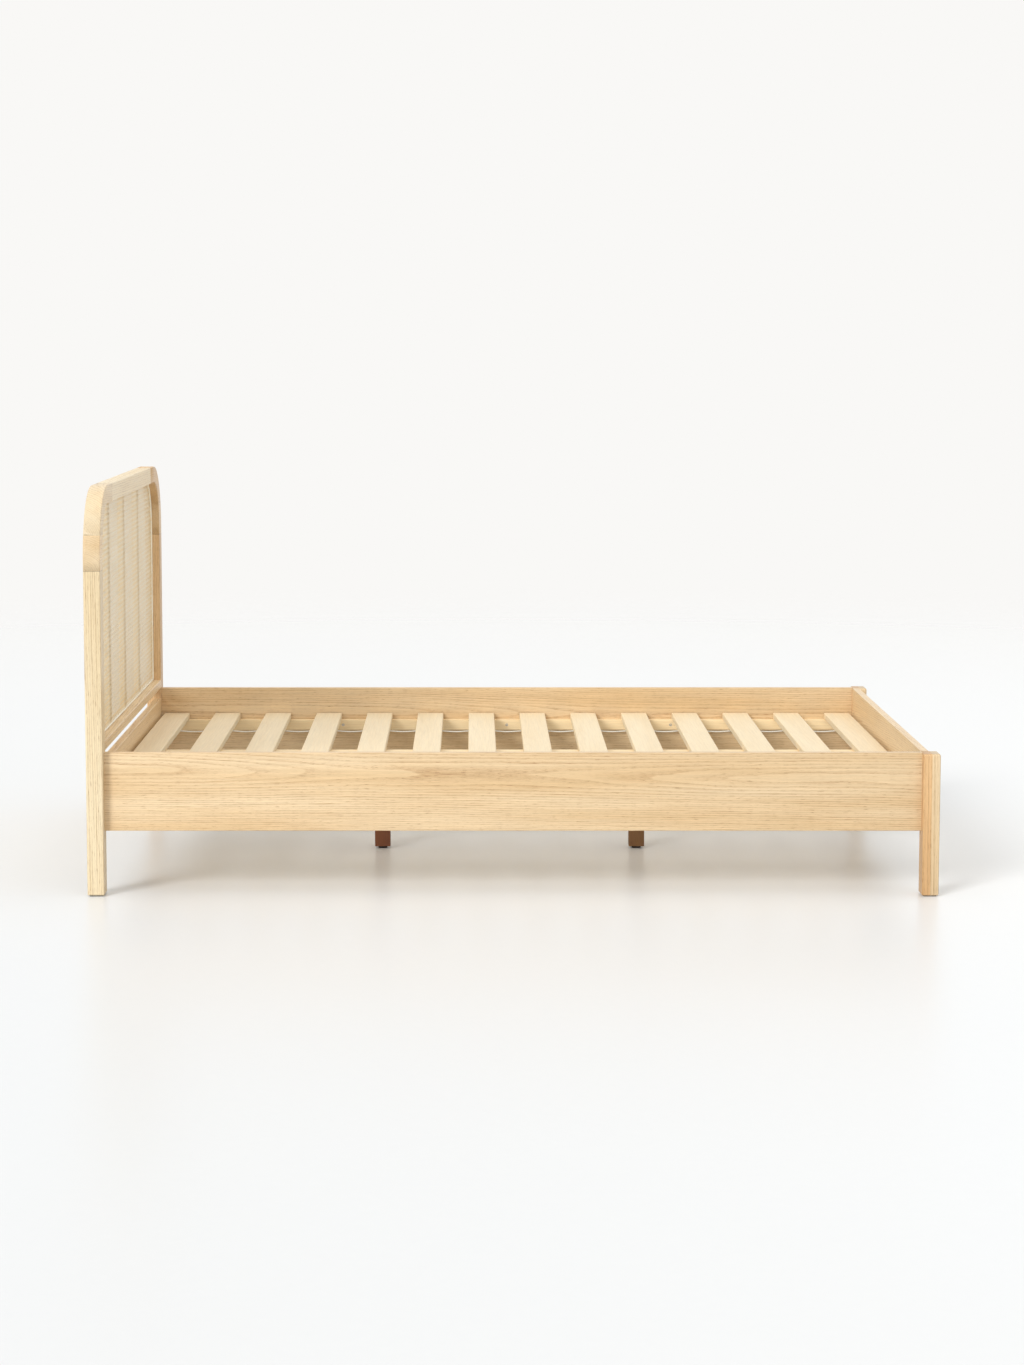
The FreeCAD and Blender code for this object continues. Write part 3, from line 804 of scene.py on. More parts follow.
class GeometryTree(Graph):
    """A geometry node group with named inputs, run once on a carrier mesh."""

    def __init__(self, name: str) -> None:
        """Start a group that takes and gives geometry."""
        group = bpy.data.node_groups.new(name, "GeometryNodeTree")
        super().__init__(group)
        group.interface.new_socket("Geometry", in_out="INPUT", socket_type="NodeSocketGeometry")
        group.interface.new_socket("Geometry", in_out="OUTPUT", socket_type="NodeSocketGeometry")
        self.group = group
        self.entry = self.node("NodeGroupInput")
        self.values: dict[str, Any] = {}

    def size(self, name: str, value: Any, kind: str = "NodeSocketFloat") -> Signal:
        """A named input with the value it gets on the modifier."""
        self.group.interface.new_socket(name, in_out="INPUT", socket_type=kind)
        self.values[name] = value
        return Signal(self, self.entry.outputs[name])

    def carried(self) -> Signal:
        """The geometry that comes in."""
        return Signal(self, self.entry.outputs["Geometry"])

    def finish(self, geometry: Signal, material: bpy.types.Material) -> None:
        """End the tree in real geometry with its finish."""
        real = self.signal("GeometryNodeRealizeInstances", None, {"Geometry": geometry})
        dressed = self.signal(
            "GeometryNodeSetMaterial", None, {"Geometry": real, "Material": material}
        )
        self.node("NodeGroupOutput", None, {"Geometry": dressed})

    def run(self, carrier: bpy.types.Mesh, name: str) -> bpy.types.Mesh:
        """Run the tree on a carrier mesh.

        Args:
            carrier: The mesh the tree works from.
            name: The name of the result.

        Returns:
            The plain mesh that comes out.
        """
        holder = bpy.data.objects.new(f"{name}_carrier", carrier)
        bpy.context.scene.collection.objects.link(holder)
        modifier = holder.modifiers.new(self.group.name, "NODES")
        modifier.node_group = self.group
        for item in self.group.interface.items_tree:
            if item.in_out == "INPUT" and item.name in self.values:
                modifier[item.identifier] = self.values[item.name]
        graph = bpy.context.evaluated_depsgraph_get()
        mesh = bpy.data.meshes.new_from_object(holder.evaluated_get(graph), depsgraph=graph)
        mesh.name = name
        bpy.data.objects.remove(holder)
        bpy.data.meshes.remove(carrier)
        return mesh


def spots_mesh(name: str, places: Sequence[Point], turns: Sequence[Point]) -> bpy.types.Mesh:
    """Bare points that carry a turn each, for a fitting to be repeated on."""
    mesh = bpy.data.meshes.new(name)
    mesh.from_pydata(list(places), [], [])
    attribute = mesh.attributes.new("turn", "FLOAT_VECTOR", "POINT")
    for item, turn in zip(attribute.data, turns):
        item.vector = turn
    return mesh


def repeated(
    name: str,
    pattern: bpy.types.Mesh,
    places: Sequence[Point],
    turns: Sequence[Point],
    finish: bpy.types.Material,
) -> bpy.types.Mesh:
    """Set a copy of a small mesh on every place.

    Args:
        name: The name of the result.
        pattern: The mesh that is repeated.
        places: Where its origin goes.
        turns: How each copy is turned, as Euler angles.
        finish: Its material.

    Returns:
        All the copies as one mesh.
    """
    sample = bpy.data.objects.new(f"{name}_pattern", pattern)
    bpy.context.scene.collection.objects.link(sample)
    tree = GeometryTree(f"{name}_repeat")
    shape = tree.size("Pattern", sample, "NodeSocketObject")
    grown = tree.size("Scale", 1.0)
    source = tree.signal("GeometryNodeObjectInfo", None, {"Object": shape}, "Geometry")
    settings = {"data_type": "FLOAT_VECTOR"}
    turn = tree.signal("GeometryNodeInputNamedAttribute", settings, {"Name": "turn"})
    inputs = {"Points": tree.carried(), "Instance": source, "Rotation": turn, "Scale": grown}
    tree.finish(tree.signal("GeometryNodeInstanceOnPoints", None, inputs), finish)
    mesh = tree.run(spots_mesh(f"{name}_spots", places, turns), name)
    bpy.data.objects.remove(sample)
    return mesh


@dataclass(frozen=True)
class Spot:
    """Where one fastener sits: its outer end, and the way its point looks."""

    place: Point
    toward: Point


def fastener_spots(node: str) -> list[Spot]:
    """Find each fastener of a CAD node, with the wider end taken as its head.

    Args:
        node: The CAD node that holds the fasteners.

    Returns:
        The spots, in a fixed order.
    """
    work = bmesh.new()
    work.from_mesh(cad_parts[node].data)
    bmesh.ops.remove_doubles(work, verts=work.verts, dist=2e-6)
    waiting, spots = set(work.verts), []
    while waiting:
        island, edge = [], [waiting.pop()]
        while edge:
            vertex = edge.pop()
            island.append(vertex.co.copy())
            near = {link.other_vert(vertex) for link in vertex.link_edges} & waiting
            waiting -= near
            edge.extend(near)
        spots.append(spot_of(island))
    work.free()
    return sorted(spots, key=lambda spot: tuple(round(value, 4) for value in spot.place))


def spot_of(points: Sequence[Vector]) -> Spot:
    """The head and the direction of one fastener, from its points.

    Args:
        points: The points of one fastener's mesh.

    Returns:
        Where its head sits and which way it points.
    """
    low = Vector(min(point[axis] for point in points) for axis in range(3))
    high = Vector(max(point[axis] for point in points) for axis in range(3))
    middle = (low + high) / 2
    axis = max(range(3), key=lambda index: high[index] - low[index])
    axle = Vector(float(index == axis) for index in range(3))

    def reach(end: float) -> float:
        """How far the points at one end lie from the axle."""
        there = [p for p in points if abs(p[axis] - end) < 1e-5]
        return max(((p - middle) - axle * (p - middle).dot(axle)).length for p in there)

    if reach(high[axis]) > reach(low[axis]):
        axle = -axle
    head = middle - axle * (high[axis] - low[axis]) / 2
    return Spot(tuple(head), tuple(axle))


def turn_to(direction: Point) -> Point:
    """The Euler angles that carry +Z to a direction."""
    return tuple(Vector(direction).to_track_quat("Z", "Y").to_euler())


# ------------------------------------------------------------------ headboard


@dataclass
class CaneWork:
    """Open octagonal cane webbing, woven strand by strand, with its reed bead."""

    columns: int = 27
    rows: int = 46
    pair_gap: float = 0.00275
    strand_width: float = 0.0019
    diagonal_width: float = 0.0023
    thickness: float = 0.0004
    wave: float = 0.0003
    corner_radius: float = 0.1205
    bead_steps: int = 20
    finish: bpy.types.Material | None = None

    def strand(
        self, work: bmesh.types.BMesh, path: Sequence[Point], width: float, tone: float
    ) -> None:
        """Add one split strand of cane: flat behind and domed in front.

        Args:
            work: The bmesh to fill.
            path: The strand's middle line.
            width: The strand's width.
            tone: How much painted shade the strand gets, from 0 to 1.
        """
        rows = []
        first_face = len(work.faces)
        tones = work.faces.layers.float[STRAND_SHADE]
        start, end = Vector(path[0]), Vector(path[-1])
        run = Vector((end.x - start.x, end.y - start.y, 0.0)).normalized()
        side = Vector((-run.y, run.x, 0.0)) * (width / 2)
        rise = Vector((0.0, 0.0, self.thickness / 2))
        for point in map(Vector, path):
            ring = (point - side - rise, point + rise, point + side - rise)
            rows.append([work.verts.new(corner) for corner in ring])
        grid_faces(work, rows, closed=True)
        work.faces.ensure_lookup_table()
        for face in work.faces[first_face:]:
            face[tones] = tone

    def cell(self, across: float, up: float) -> bpy.types.Mesh:
        """One repeat of the weave, centred on the crossing of its pairs.

        Args:
            across: The repeat's width.
            up: The repeat's height.

        Returns:
            The mesh of one repeat, lying in the XY plane.
        """
        half_x, half_y = across / 2, up / 2
        gap, wave = self.pair_gap / 2, self.wave

        def build(work: bmesh.types.BMesh) -> None:
            """Lay the eight strands of the repeat."""
            work.faces.layers.float.new(STRAND_SHADE)
            # Painted shade: the uprights and diagonals get a darker tint because they face away
            # from the light; the horizontal pairs stay pale as the lit strands.
            uprights = {-gap: (-wave, -wave), gap: (wave, -wave)}
            for x, (first, second) in uprights.items():
                path = [(x, -half_y, 0.0), (x, -gap, first), (x, gap, second), (x, half_y, 0.0)]
                self.strand(work, path, self.strand_width, 0.55)
            levels = {-gap: (wave, -wave), gap: (wave, wave)}
            for y, (first, second) in levels.items():
                path = [(-half_x, y, 0.0), (-gap, y, first), (gap, y, second), (half_x, y, 0.0)]
                self.strand(work, path, self.strand_width, 0.0)
            for x_side in (-1, 1):
                for y_side in (-1, 1):
                    lift = 1.6 * wave * x_side * y_side
                    ends = (x_side * half_x, 0.0, -lift), (0.0, y_side * half_y, lift)
                    middle = (x_side * half_x / 2, y_side * half_y / 2, 0.0)
                    self.strand(work, [ends[0], middle, ends[1]], self.diagonal_width, 0.7)

        return mesh_of("cane_cell", build)

    def weave(self, number: int) -> bpy.types.Mesh:
        """Repeat the cell over one column of the headboard, inside the arch.

        Args:
            number: The column, counted from the left post.

        Returns:
            The woven column as one mesh.
        """
        low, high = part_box(f"cane_panel_{number}")
        arch_low, arch_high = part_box("cane_spline")
        across, up = (high.y - low.y) / self.columns, (high.z - low.z) / self.rows
        tree = GeometryTree(f"cane_weave_{number}")
        columns = tree.size("Columns", self.columns, "NodeSocketInt")
        rows = tree.size("Rows", self.rows, "NodeSocketInt")
        radius = tree.size("Corner Radius", self.corner_radius)
        wide = tree.size("Width", high.y - low.y - across)
        tall = tree.size("Height", high.z - low.z - up)
        inputs = {"Size X": wide, "Size Y": tall, "Vertices X": columns, "Vertices Y": rows}
        grid = tree.signal("GeometryNodeMeshGrid", None, inputs, "Mesh")
        inputs = {"Points": grid, "Instance": tree.carried()}
        cells = tree.signal("GeometryNodeInstanceOnPoints", None, inputs)
        real = tree.signal("GeometryNodeRealizeInstances", None, {"Geometry": cells})
        inputs = {"Geometry": real, "Distance": 1e-5}
        welded = tree.signal("GeometryNodeMergeByDistance", None, inputs)
        middle = ((low.x + high.x) / 2, (low.y + high.y) / 2, (low.z + high.z) / 2)
        inputs = {
            "Geometry": welded,
            "Rotation": (math.pi / 2, 0.0, math.pi / 2),
            "Translation": middle,
        }
        stood = tree.signal("GeometryNodeTransform", None, inputs)
        position = tree.signal("GeometryNodeInputPosition")
        parts = tree.node("ShaderNodeSeparateXYZ", None, {0: position}).outputs
        corner_y = arch_high.y - self.corner_radius
        corner_z = arch_high.z - self.corner_radius
        beyond_y = (abs(Signal(tree, parts[1])) - corner_y).largest(0.0)
        beyond_z = (Signal(tree, parts[2]) - corner_z).largest(0.0)
        reach = (beyond_y * beyond_y + beyond_z * beyond_z).root()
        outside = tree.signal("FunctionNodeCompare", None, {0: reach, 1: radius})
        settings = {"domain": "FACE"}
        inputs = {"Geometry": stood, "Selection": outside}
        trimmed = tree.signal("GeometryNodeDeleteGeometry", settings, inputs)
        tree.finish(trimmed, self.finish)
        return tree.run(self.cell(across, up), f"cane_{number}")

    def bead(self) -> bpy.types.Mesh:
        """The half-round reed pressed in round the cane."""
        low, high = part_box("cane_spline")
        wide = high.x - low.x
        radius = self.corner_radius + 0.0015
        path = [((-1, low.z), (1, 1)), ((1, low.z), (-1, 1))]
        ring: list[tuple[Vector, Vector]] = []
        corners = ((high.y, -1.0), (low.y, 1.0))
        for (x, z), (toward_y, toward_z) in path:
            edge = low.y if x < 0 else high.y
            ring.append((Vector((edge, z)), Vector((toward_y, toward_z))))
        for edge, sign in corners:
            centre = Vector((edge + sign * radius, high.z - radius))
            first = 0.0 if sign < 0 else math.pi / 2
            for step in range(self.bead_steps + 1):
                turn = first + step / self.bead_steps * math.pi / 2
                out = Vector((math.cos(turn), math.sin(turn)))
                ring.append((centre + out * radius, -out))

        def build(work: bmesh.types.BMesh) -> None:
            """Sweep the bead round the opening."""
            rows = []
            for point, inward in ring:
                row = []
                for along, forward in self.bead_section():
                    spot = point + inward * (along * wide)
                    row.append(work.verts.new((low.x + forward * wide, spot.x, spot.y)))
                rows.append(row)
            grid_faces(work, rows + rows[:1], closed=True)

        return mesh_of("cane_bead", build)

    @staticmethod
    def bead_section() -> list[tuple[float, float]]:
        """The bead's outline, from the groove side to the cane side, over a unit width."""
        turns = [math.pi * step / 8 for step in range(9)]
        dome = [(0.5 - 0.5 * math.cos(turn), 0.5 + 0.5 * math.sin(turn)) for turn in turns]
        return [(0.0, 0.0), *dome, (1.0, 0.0)]

    def build(self) -> None:
        """Weave the four columns and lay the bead."""
        battens = tuple(middle_of(f"headboard_batten_{number}")[1] for number in (1, 2, 3))
        # The cane over each batten gets painted shade, for the batten standing in shade behind it.
        self.finish = new_material("cane", CaneSkin(batten_shade_places=battens).paint)
        for number in range(1, 5):
            name = f"cane_weave_{number}"
            made = new_object(name, self.weave(number), self.finish)
            made.data.set_sharp_from_angle(angle=math.radians(70))
            Piece(name, "cane", (f"cane_panel_{number}",)).declare(made)
        reed = new_material("reed", CaneSkin(fleck=tint(190, 148, 92)).paint)
        made = new_object("cane_bead", self.bead(), reed)
        Piece("cane_bead", "cane", ("cane_spline",)).declare(made)


@dataclass
class Headboard:
    """Posts, laminated corners, top rail, cross rails, battens and cane."""

    def boards(self) -> list[Board]:
        """Every board of the headboard, each with its own cut; the right-hand post and corners
        also carry painted shade.
        """
        up, across = Axis.Z, Axis.Y
        made = []
        for number, side in enumerate(("left", "right")):
            # The right-hand post and corners stand at the far end, in the shade of the headboard:
            # the darker tone and extra warmth they take from number are painted shade.
            seed = 3.0 + 11 * number
            lower, upper = (
                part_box(f"headboard_corner_{part}_{side}")[0].z for part in ("lower", "upper")
            )
            made += [
                Board(
                    f"headboard_post_{side}",
                    OAK,
                    Cut(
                        up,
                        seed,
                        (46, 60),
                        (0.004, 0.003),
                        figure=0.6,
                        contrast=1.4,
                        tone=-0.05 - 0.13 * number,
                        warmth=0.32 * number - 0.18,
                    ),
                ),
                Board(
                    f"headboard_corner_lower_{side}",
                    OAK,
                    Cut(
                        across,
                        seed + 1,
                        (60, 30),
                        tone=0.04 - 0.15 * number,
                        warmth=0.15 * number - 0.03,
                        joints=(Seam(up, lower, 0.0014, 0.6),),
                    ),
                ),
                Board(
                    f"headboard_corner_upper_{side}",
                    OAK,
                    Cut(
                        across,
                        seed + 2,
                        (80, 45),
                        tone=-0.03 - 0.13 * number,
                        warmth=0.25 * number - 0.1,
                        joints=(Seam(up, upper),),
                    ),
                ),
            ]
        made += [
            Board(
                "headboard_top_rail",
                OAK,
                Cut(across, 6.0, (70, 40), (0.002, 0.003), figure=0.5, tone=0.04, warmth=-0.2),
            ),
            Board("headboard_cane_rail", OAK, Cut(across, 7.0, (30, 20), tone=-0.02)),
            Board("headboard_lower_rail", OAK, Cut(across, 8.0, (60, 30), tone=-0.03)),
        ]
        for number in range(1, 4):
            node = f"headboard_batten_{number}"
            made.append(Board(node, SPRUCE, Cut(up, 20.0 + number, (40, 30)), "softwood"))
        return made

    def build(self) -> None:
        """Make the boards and the cane."""
        for board in self.boards():
            board.build()
        CaneWork().build()


@dataclass
class SideFrame:
    """Side rails, foot legs, foot rail and the ledgers that carry the slats."""

    def boards(self) -> list[Board]:
        """Every board of the sides and the foot."""
        made = []
        for number, side in enumerate(("left", "right")):
            leg = middle_of(f"foot_leg_{side}")
            halves = (Lamella(Axis.X, leg[0], 0.04, -0.27),)
            rail = Cut(
                Axis.X,
                31.0 + 5 * number,
                (44.0 - 6 * number, 20 * number - 44.0),
                (0.0, 0.012),
                Swell(620 * number - 340.0, 640.0, 1500.0, 16.0, 9.0),
                figure=0.8,
                ring_scale=1.05,
                contrast=1.25,
                tone=-0.13,
                warmth=0.03,
                # Painted shade: the rail darkens towards the foot, where less light reaches it.
                painted_shade_slope=-0.05,
            )
            made += [
                Board(f"side_rail_{side}", OAK, rail),
                Board(
                    f"foot_leg_{side}",
                    OAK,
                    Cut(
                        Axis.Z,
                        41.0 + number,
                        (30, 64),
                        (0.004, 0.004),
                        tone=-0.16,
                        warmth=0.26,
                        lamellas=halves,
                    ),
                ),
                Board(
                    f"side_ledger_{side}",
                    SPRUCE,
                    Cut(Axis.X, 51.0 + number, (35, 20)),
                    "softwood",
                ),
            ]
        made.append(Board("foot_rail", OAK, Cut(Axis.Y, 61.0, (20, 70), (0.01, 0.05), tone=-0.06)))
        return made

    def build(self) -> None:
        """Make every board."""
        for board in self.boards():
            board.build()


# ------------------------------------------------------------------ slatted base


@dataclass
class SlattedBase:
    """Loose slats, the two tapes that space them, and the staples that hold the tapes."""

    count: int = 14
    staple_wire: float = 0.0006
    staple_width: float = 0.010
    staple_offset: float = 0.018
    tape_sag: float = 0.0022
    tape_steps: int = 12

    def slats(self) -> None:
        """Repeat one slat down the bed."""
        nodes = tuple(f"slat_{number:02d}" for number in range(1, self.count + 1))
        first_low, first_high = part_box(nodes[0])
        last_low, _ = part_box(nodes[-1])
        step = (last_low.x - first_low.x) / (self.count - 1)
        start = first_low.x - (step - (first_high.x - first_low.x)) / 2
        cut = Cut(Axis.Y, 71.0, (45, 26), figure=1.2, repeat=step, repeat_from=start)
        centre = middle_of(nodes[0])
        finish = new_material("slats", lambda graph: BIRCH.paint(graph, cut, centre))
        tree = GeometryTree("slat_row")
        count = tree.size("Count", self.count, "NodeSocketInt")
        spacing = tree.size("Spacing", step)
        offset = tree.vector(spacing, 0.0, 0.0)
        inputs = {"Count": count, "Offset": offset}
        line = tree.signal("GeometryNodeMeshLine", {"mode": "OFFSET"}, inputs)
        inputs = {"Points": line, "Instance": tree.carried()}
        tree.finish(tree.signal("GeometryNodeInstanceOnPoints", None, inputs), finish)
        made = new_object("slats", tree.run(merged_copy(nodes[0], "slat"), "slats"), finish)
        Piece("slats", "slat_wood", nodes, "slatted_base").declare(made)

    def tape(self, side: str) -> None:
        """One woven tape, which sags a little between the slats."""
        low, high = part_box(f"slat_strap_{side}")
        first_low, first_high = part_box("slat_01")
        second_low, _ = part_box("slat_02")
        step = second_low.x - first_low.x
        wide = first_high.x - first_low.x
        depth = high.z - low.z

        def sag(x: float) -> float:
            """How far the strap hangs between two slats."""
            share = ((x - first_low.x) % step - wide) / (step - wide)
            return self.tape_sag * math.sin(math.pi * share) if share > 0 else 0.0

        def build(work: bmesh.types.BMesh) -> None:
            """Sweep the flat section of the strap along the slats."""
            count = (self.count * self.tape_steps) + 1
            middle, half = (low.y + high.y) / 2, (high.y - low.y) / 2
            section = [(-1.0, 0.25), (-0.94, 0.0), (0.94, 0.0), (1.0, 0.25)]
            section += [(1.0, 0.75), (0.94, 1.0), (-0.94, 1.0), (-1.0, 0.75)]
            rows = []
            for number in range(count):
                x = low.x + (high.x - low.x) * number / (count - 1)
                row = []
                for across, up in section:
                    spot = (x, middle + across * half, low.z + up * depth - sag(x))
                    row.append(work.verts.new(spot))
                rows.append(row)
            grid_faces(work, rows, closed=True)
            for row in (rows[0], rows[-1]):
                work.faces.new(row)

        name = f"tape_{side}"
        made = new_object(name, mesh_of(name, build), self.cloth)
        Piece(name, "webbing", (f"slat_strap_{side}",), "slatted_base").declare(made)

    def staple(self) -> bpy.types.Mesh:
        """A wire staple, its crown lying across the tape just under the origin."""
        half, wire = self.staple_width / 2, self.staple_wire

        def build(work: bmesh.types.BMesh) -> None:
            """Sweep the wire along the crown and both legs."""
            path = [(-half, wire * 4), (-half, -wire * 0.3), (-half * 0.9, -wire)]
            path += [(half * 0.9, -wire), (half, -wire * 0.3), (half, wire * 4)]
            rows = []
            for y, z in path:
                lean = 1.0 if abs(y) < half else 0.0
                row = []
                for side in range(6):
                    turn = side / 6 * math.tau
                    x = math.cos(turn) * wire / 2
                    push = math.sin(turn) * wire / 2
                    spot = (x, y + push * (1.0 - lean), z + push * lean)
                    row.append(work.verts.new(spot))
                rows.append(row)
            grid_faces(work, rows, closed=True)
            for row in (rows[0], rows[-1]):
                work.faces.new(row)

        return mesh_of("staple", build)

    def staples(self) -> None:
        """Two staples through each tape at every slat."""
        places = []
        for side in ("left", "right"):
            low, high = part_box(f"slat_strap_{side}")
            for number in range(1, self.count + 1):
                slat_low, slat_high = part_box(f"slat_{number:02d}")
                middle = (slat_low.x + slat_high.x) / 2
                for offset in (-self.staple_offset, self.staple_offset):
                    places.append((middle + offset, (low.y + high.y) / 2, low.z))
        turns = [(0.0, 0.0, 0.0)] * len(places)
        steel = new_material("staple_steel", Plated().paint)
        mesh = repeated("staples", self.staple(), places, turns, steel)
        made = new_object("staples", mesh, steel)
        Piece("staples", "steel", (), "slatted_base").declare(made)

    def build(self) -> None:
        """Make the slats, tapes and staples."""
        self.cloth = new_material("tape", Tape().paint)
        self.slats()
        for side in ("left", "right"):
            self.tape(side)
        self.staples()


# ------------------------------------------------------------------ centre support


@dataclass
class CentreSupport:
    """The centre beam with its two stained legs and their levelling glides."""

    thread_pitch: float = 0.00125
    thread_depth: float = 0.0005
    thread_steps: int = 6
    grip_count: int = 18
    grip_depth: float = 0.0006
    pad_clearance: float = 0.0001
    stem_sides: int = 20
    stem_radius: float = 0.0039
    collar_height: float = 0.0021
    collar_sides: int = 36
    neck_height: float = 0.0004

    def boards(self) -> list[Board]:
        """The beam and its legs."""
        beam = Board("centre_beam", SPRUCE, Cut(Axis.X, 81.0, (40, 30)), "softwood")
        made = [beam]
        for number, end in enumerate(("head", "foot")):
            cut = Cut(Axis.Z, 91.0 + number, (30, 20), tone=0.05 - 0.1 * number)
            timber = STAINED if end == "head" else FUMED
            made.append(Board(f"centre_leg_{end}", timber, cut, "dark_wood"))
        return made

    def pad(self, end: str) -> None:
        """The moulded foot, with a grip of shallow flutes round its edge.

        Args:
            end: Which leg it stands under, head or foot.
        """
        low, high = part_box(f"glide_pad_{end}")
        radius, tall = (high.x - low.x) / 2, high.z - low.z - self.pad_clearance
        stem_low, stem_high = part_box(f"glide_stem_{end}")
        socket = (stem_high.y - stem_low.y) / 2 + 0.0006
        floor = stem_low.z - low.z
        ease = 0.0009
        profile = [
            (0.0, 0.0003),
            (radius - 0.004, 0.0003),
            (radius - 0.0032, 0.0),
            (radius - ease, 0.0),
            (radius - ease * 0.3, ease * 0.3),
            (radius, ease),
            (radius, tall - ease),
            (radius - ease * 0.3, tall - ease * 0.3),
            (radius - ease, tall),
            (socket + 0.0006, tall),
            (socket, tall - 0.0005),
            (socket, floor),
            (0.0, floor - 0.0001),
        ]

        def flute(turn: float, height: float) -> float:
            """How deep the grip is cut at a turn and a height."""
            inside = 0.3 * ease < height < tall - 0.3 * ease
            dip = max(0.0, math.cos(turn * self.grip_count)) ** 2 * self.grip_depth
            return -dip if inside else 0.0

        def build(work: bmesh.types.BMesh) -> None:
            """Turn the fluted pad on its centre line."""
            x, y, _ = middle_of(f"glide_pad_{end}")
            Lathe(profile, self.grip_count * 6, flute).build(work, (x, y, low.z))

        name = f"glide_foot_{end}"
        made = new_object(name, mesh_of(name, build), self.plastic)
        Piece(name, "black_plastic", (f"glide_pad_{end}",), f"{end}_glide_foot").declare(made)

    def stem(self, end: str) -> None:
        """The threaded stem and its hexagonal collar.

        Args:
            end: Which leg it stands under, head or foot.
        """
        low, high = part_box(f"glide_stem_{end}")
        x, y, _ = middle_of(f"glide_stem_{end}")
        across = (high.x - low.x) / 2
        collar_low, collar_high = low.z, low.z + self.collar_height
        radius = self.stem_radius
        thread_low = collar_high + self.neck_height

        def hexagon(turn: float) -> float:
            """The reach of the six-sided collar at a turn."""
            sector = (turn + math.pi / 6) % (math.pi / 3) - math.pi / 6
            return across * math.cos(math.pi / 6) / math.cos(abs(sector) - math.pi / 6)

        def build(work: bmesh.types.BMesh) -> None:
            """Make the collar, then the neck and the thread."""
            rows = [(collar_low, 0.93), (collar_low + 0.0003, 1.0)]
            rows += [(collar_high - 0.0003, 1.0), (collar_high, 0.93)]
            rings = []
            for height, share in rows:
                ring = []
                for side in range(self.collar_sides):
                    turn = side / self.collar_sides * math.tau
                    reach = hexagon(turn) * share
                    spot = (x + math.cos(turn) * reach, y + math.sin(turn) * reach, height)
                    ring.append(work.verts.new(spot))
                rings.append(ring)
            grid_faces(work, rings, closed=True)
            for ring in (rings[0], rings[-1]):
                work.faces.new(ring)
            rings = []
            steps = round((high.z - thread_low) / self.thread_pitch * self.thread_steps)
            for step in range(steps + 1):
                height = thread_low + (high.z - thread_low) * step / steps
                ring = []
                for side in range(self.stem_sides):
                    share = side / self.stem_sides
                    phase = ((height - thread_low) / self.thread_pitch - share) % 1.0
                    ridge = 1.0 - abs(2.0 * phase - 1.0)
                    fade = min(1.0, (high.z - height) / self.thread_pitch)
                    reach = radius - self.thread_depth * (1.0 - ridge * fade)
                    turn = share * math.tau
                    spot = (x + math.cos(turn) * reach, y + math.sin(turn) * reach, height)
                    ring.append(work.verts.new(spot))
                rings.append(ring)
            neck = []
            for side in range(self.stem_sides):
                turn = side / self.stem_sides * math.tau
                reach = radius - self.thread_depth
                level = collar_high - self.neck_height
                spot = (x + math.cos(turn) * reach, y + math.sin(turn) * reach, level)
                neck.append(work.verts.new(spot))
            grid_faces(work, [neck, *rings], closed=True)
            for ring in (neck, rings[-1]):
                work.faces.new(ring)

        name = f"glide_screw_{end}"
        made = new_object(name, mesh_of(name, build), self.steel)
        Piece(name, "steel", (f"glide_stem_{end}",), f"{end}_glide_stem").declare(made)

    def build(self) -> None:
        """Make the beam, legs and glides."""
        self.plastic = new_material("moulded_plastic", Moulded().paint)
        self.steel = new_material("glide_steel", Plated().paint)
        for board in self.boards():
            board.build()
        for end in ("head", "foot"):
            self.pad(end)
            self.stem(end)


# ------------------------------------------------------------------ fittings and felt


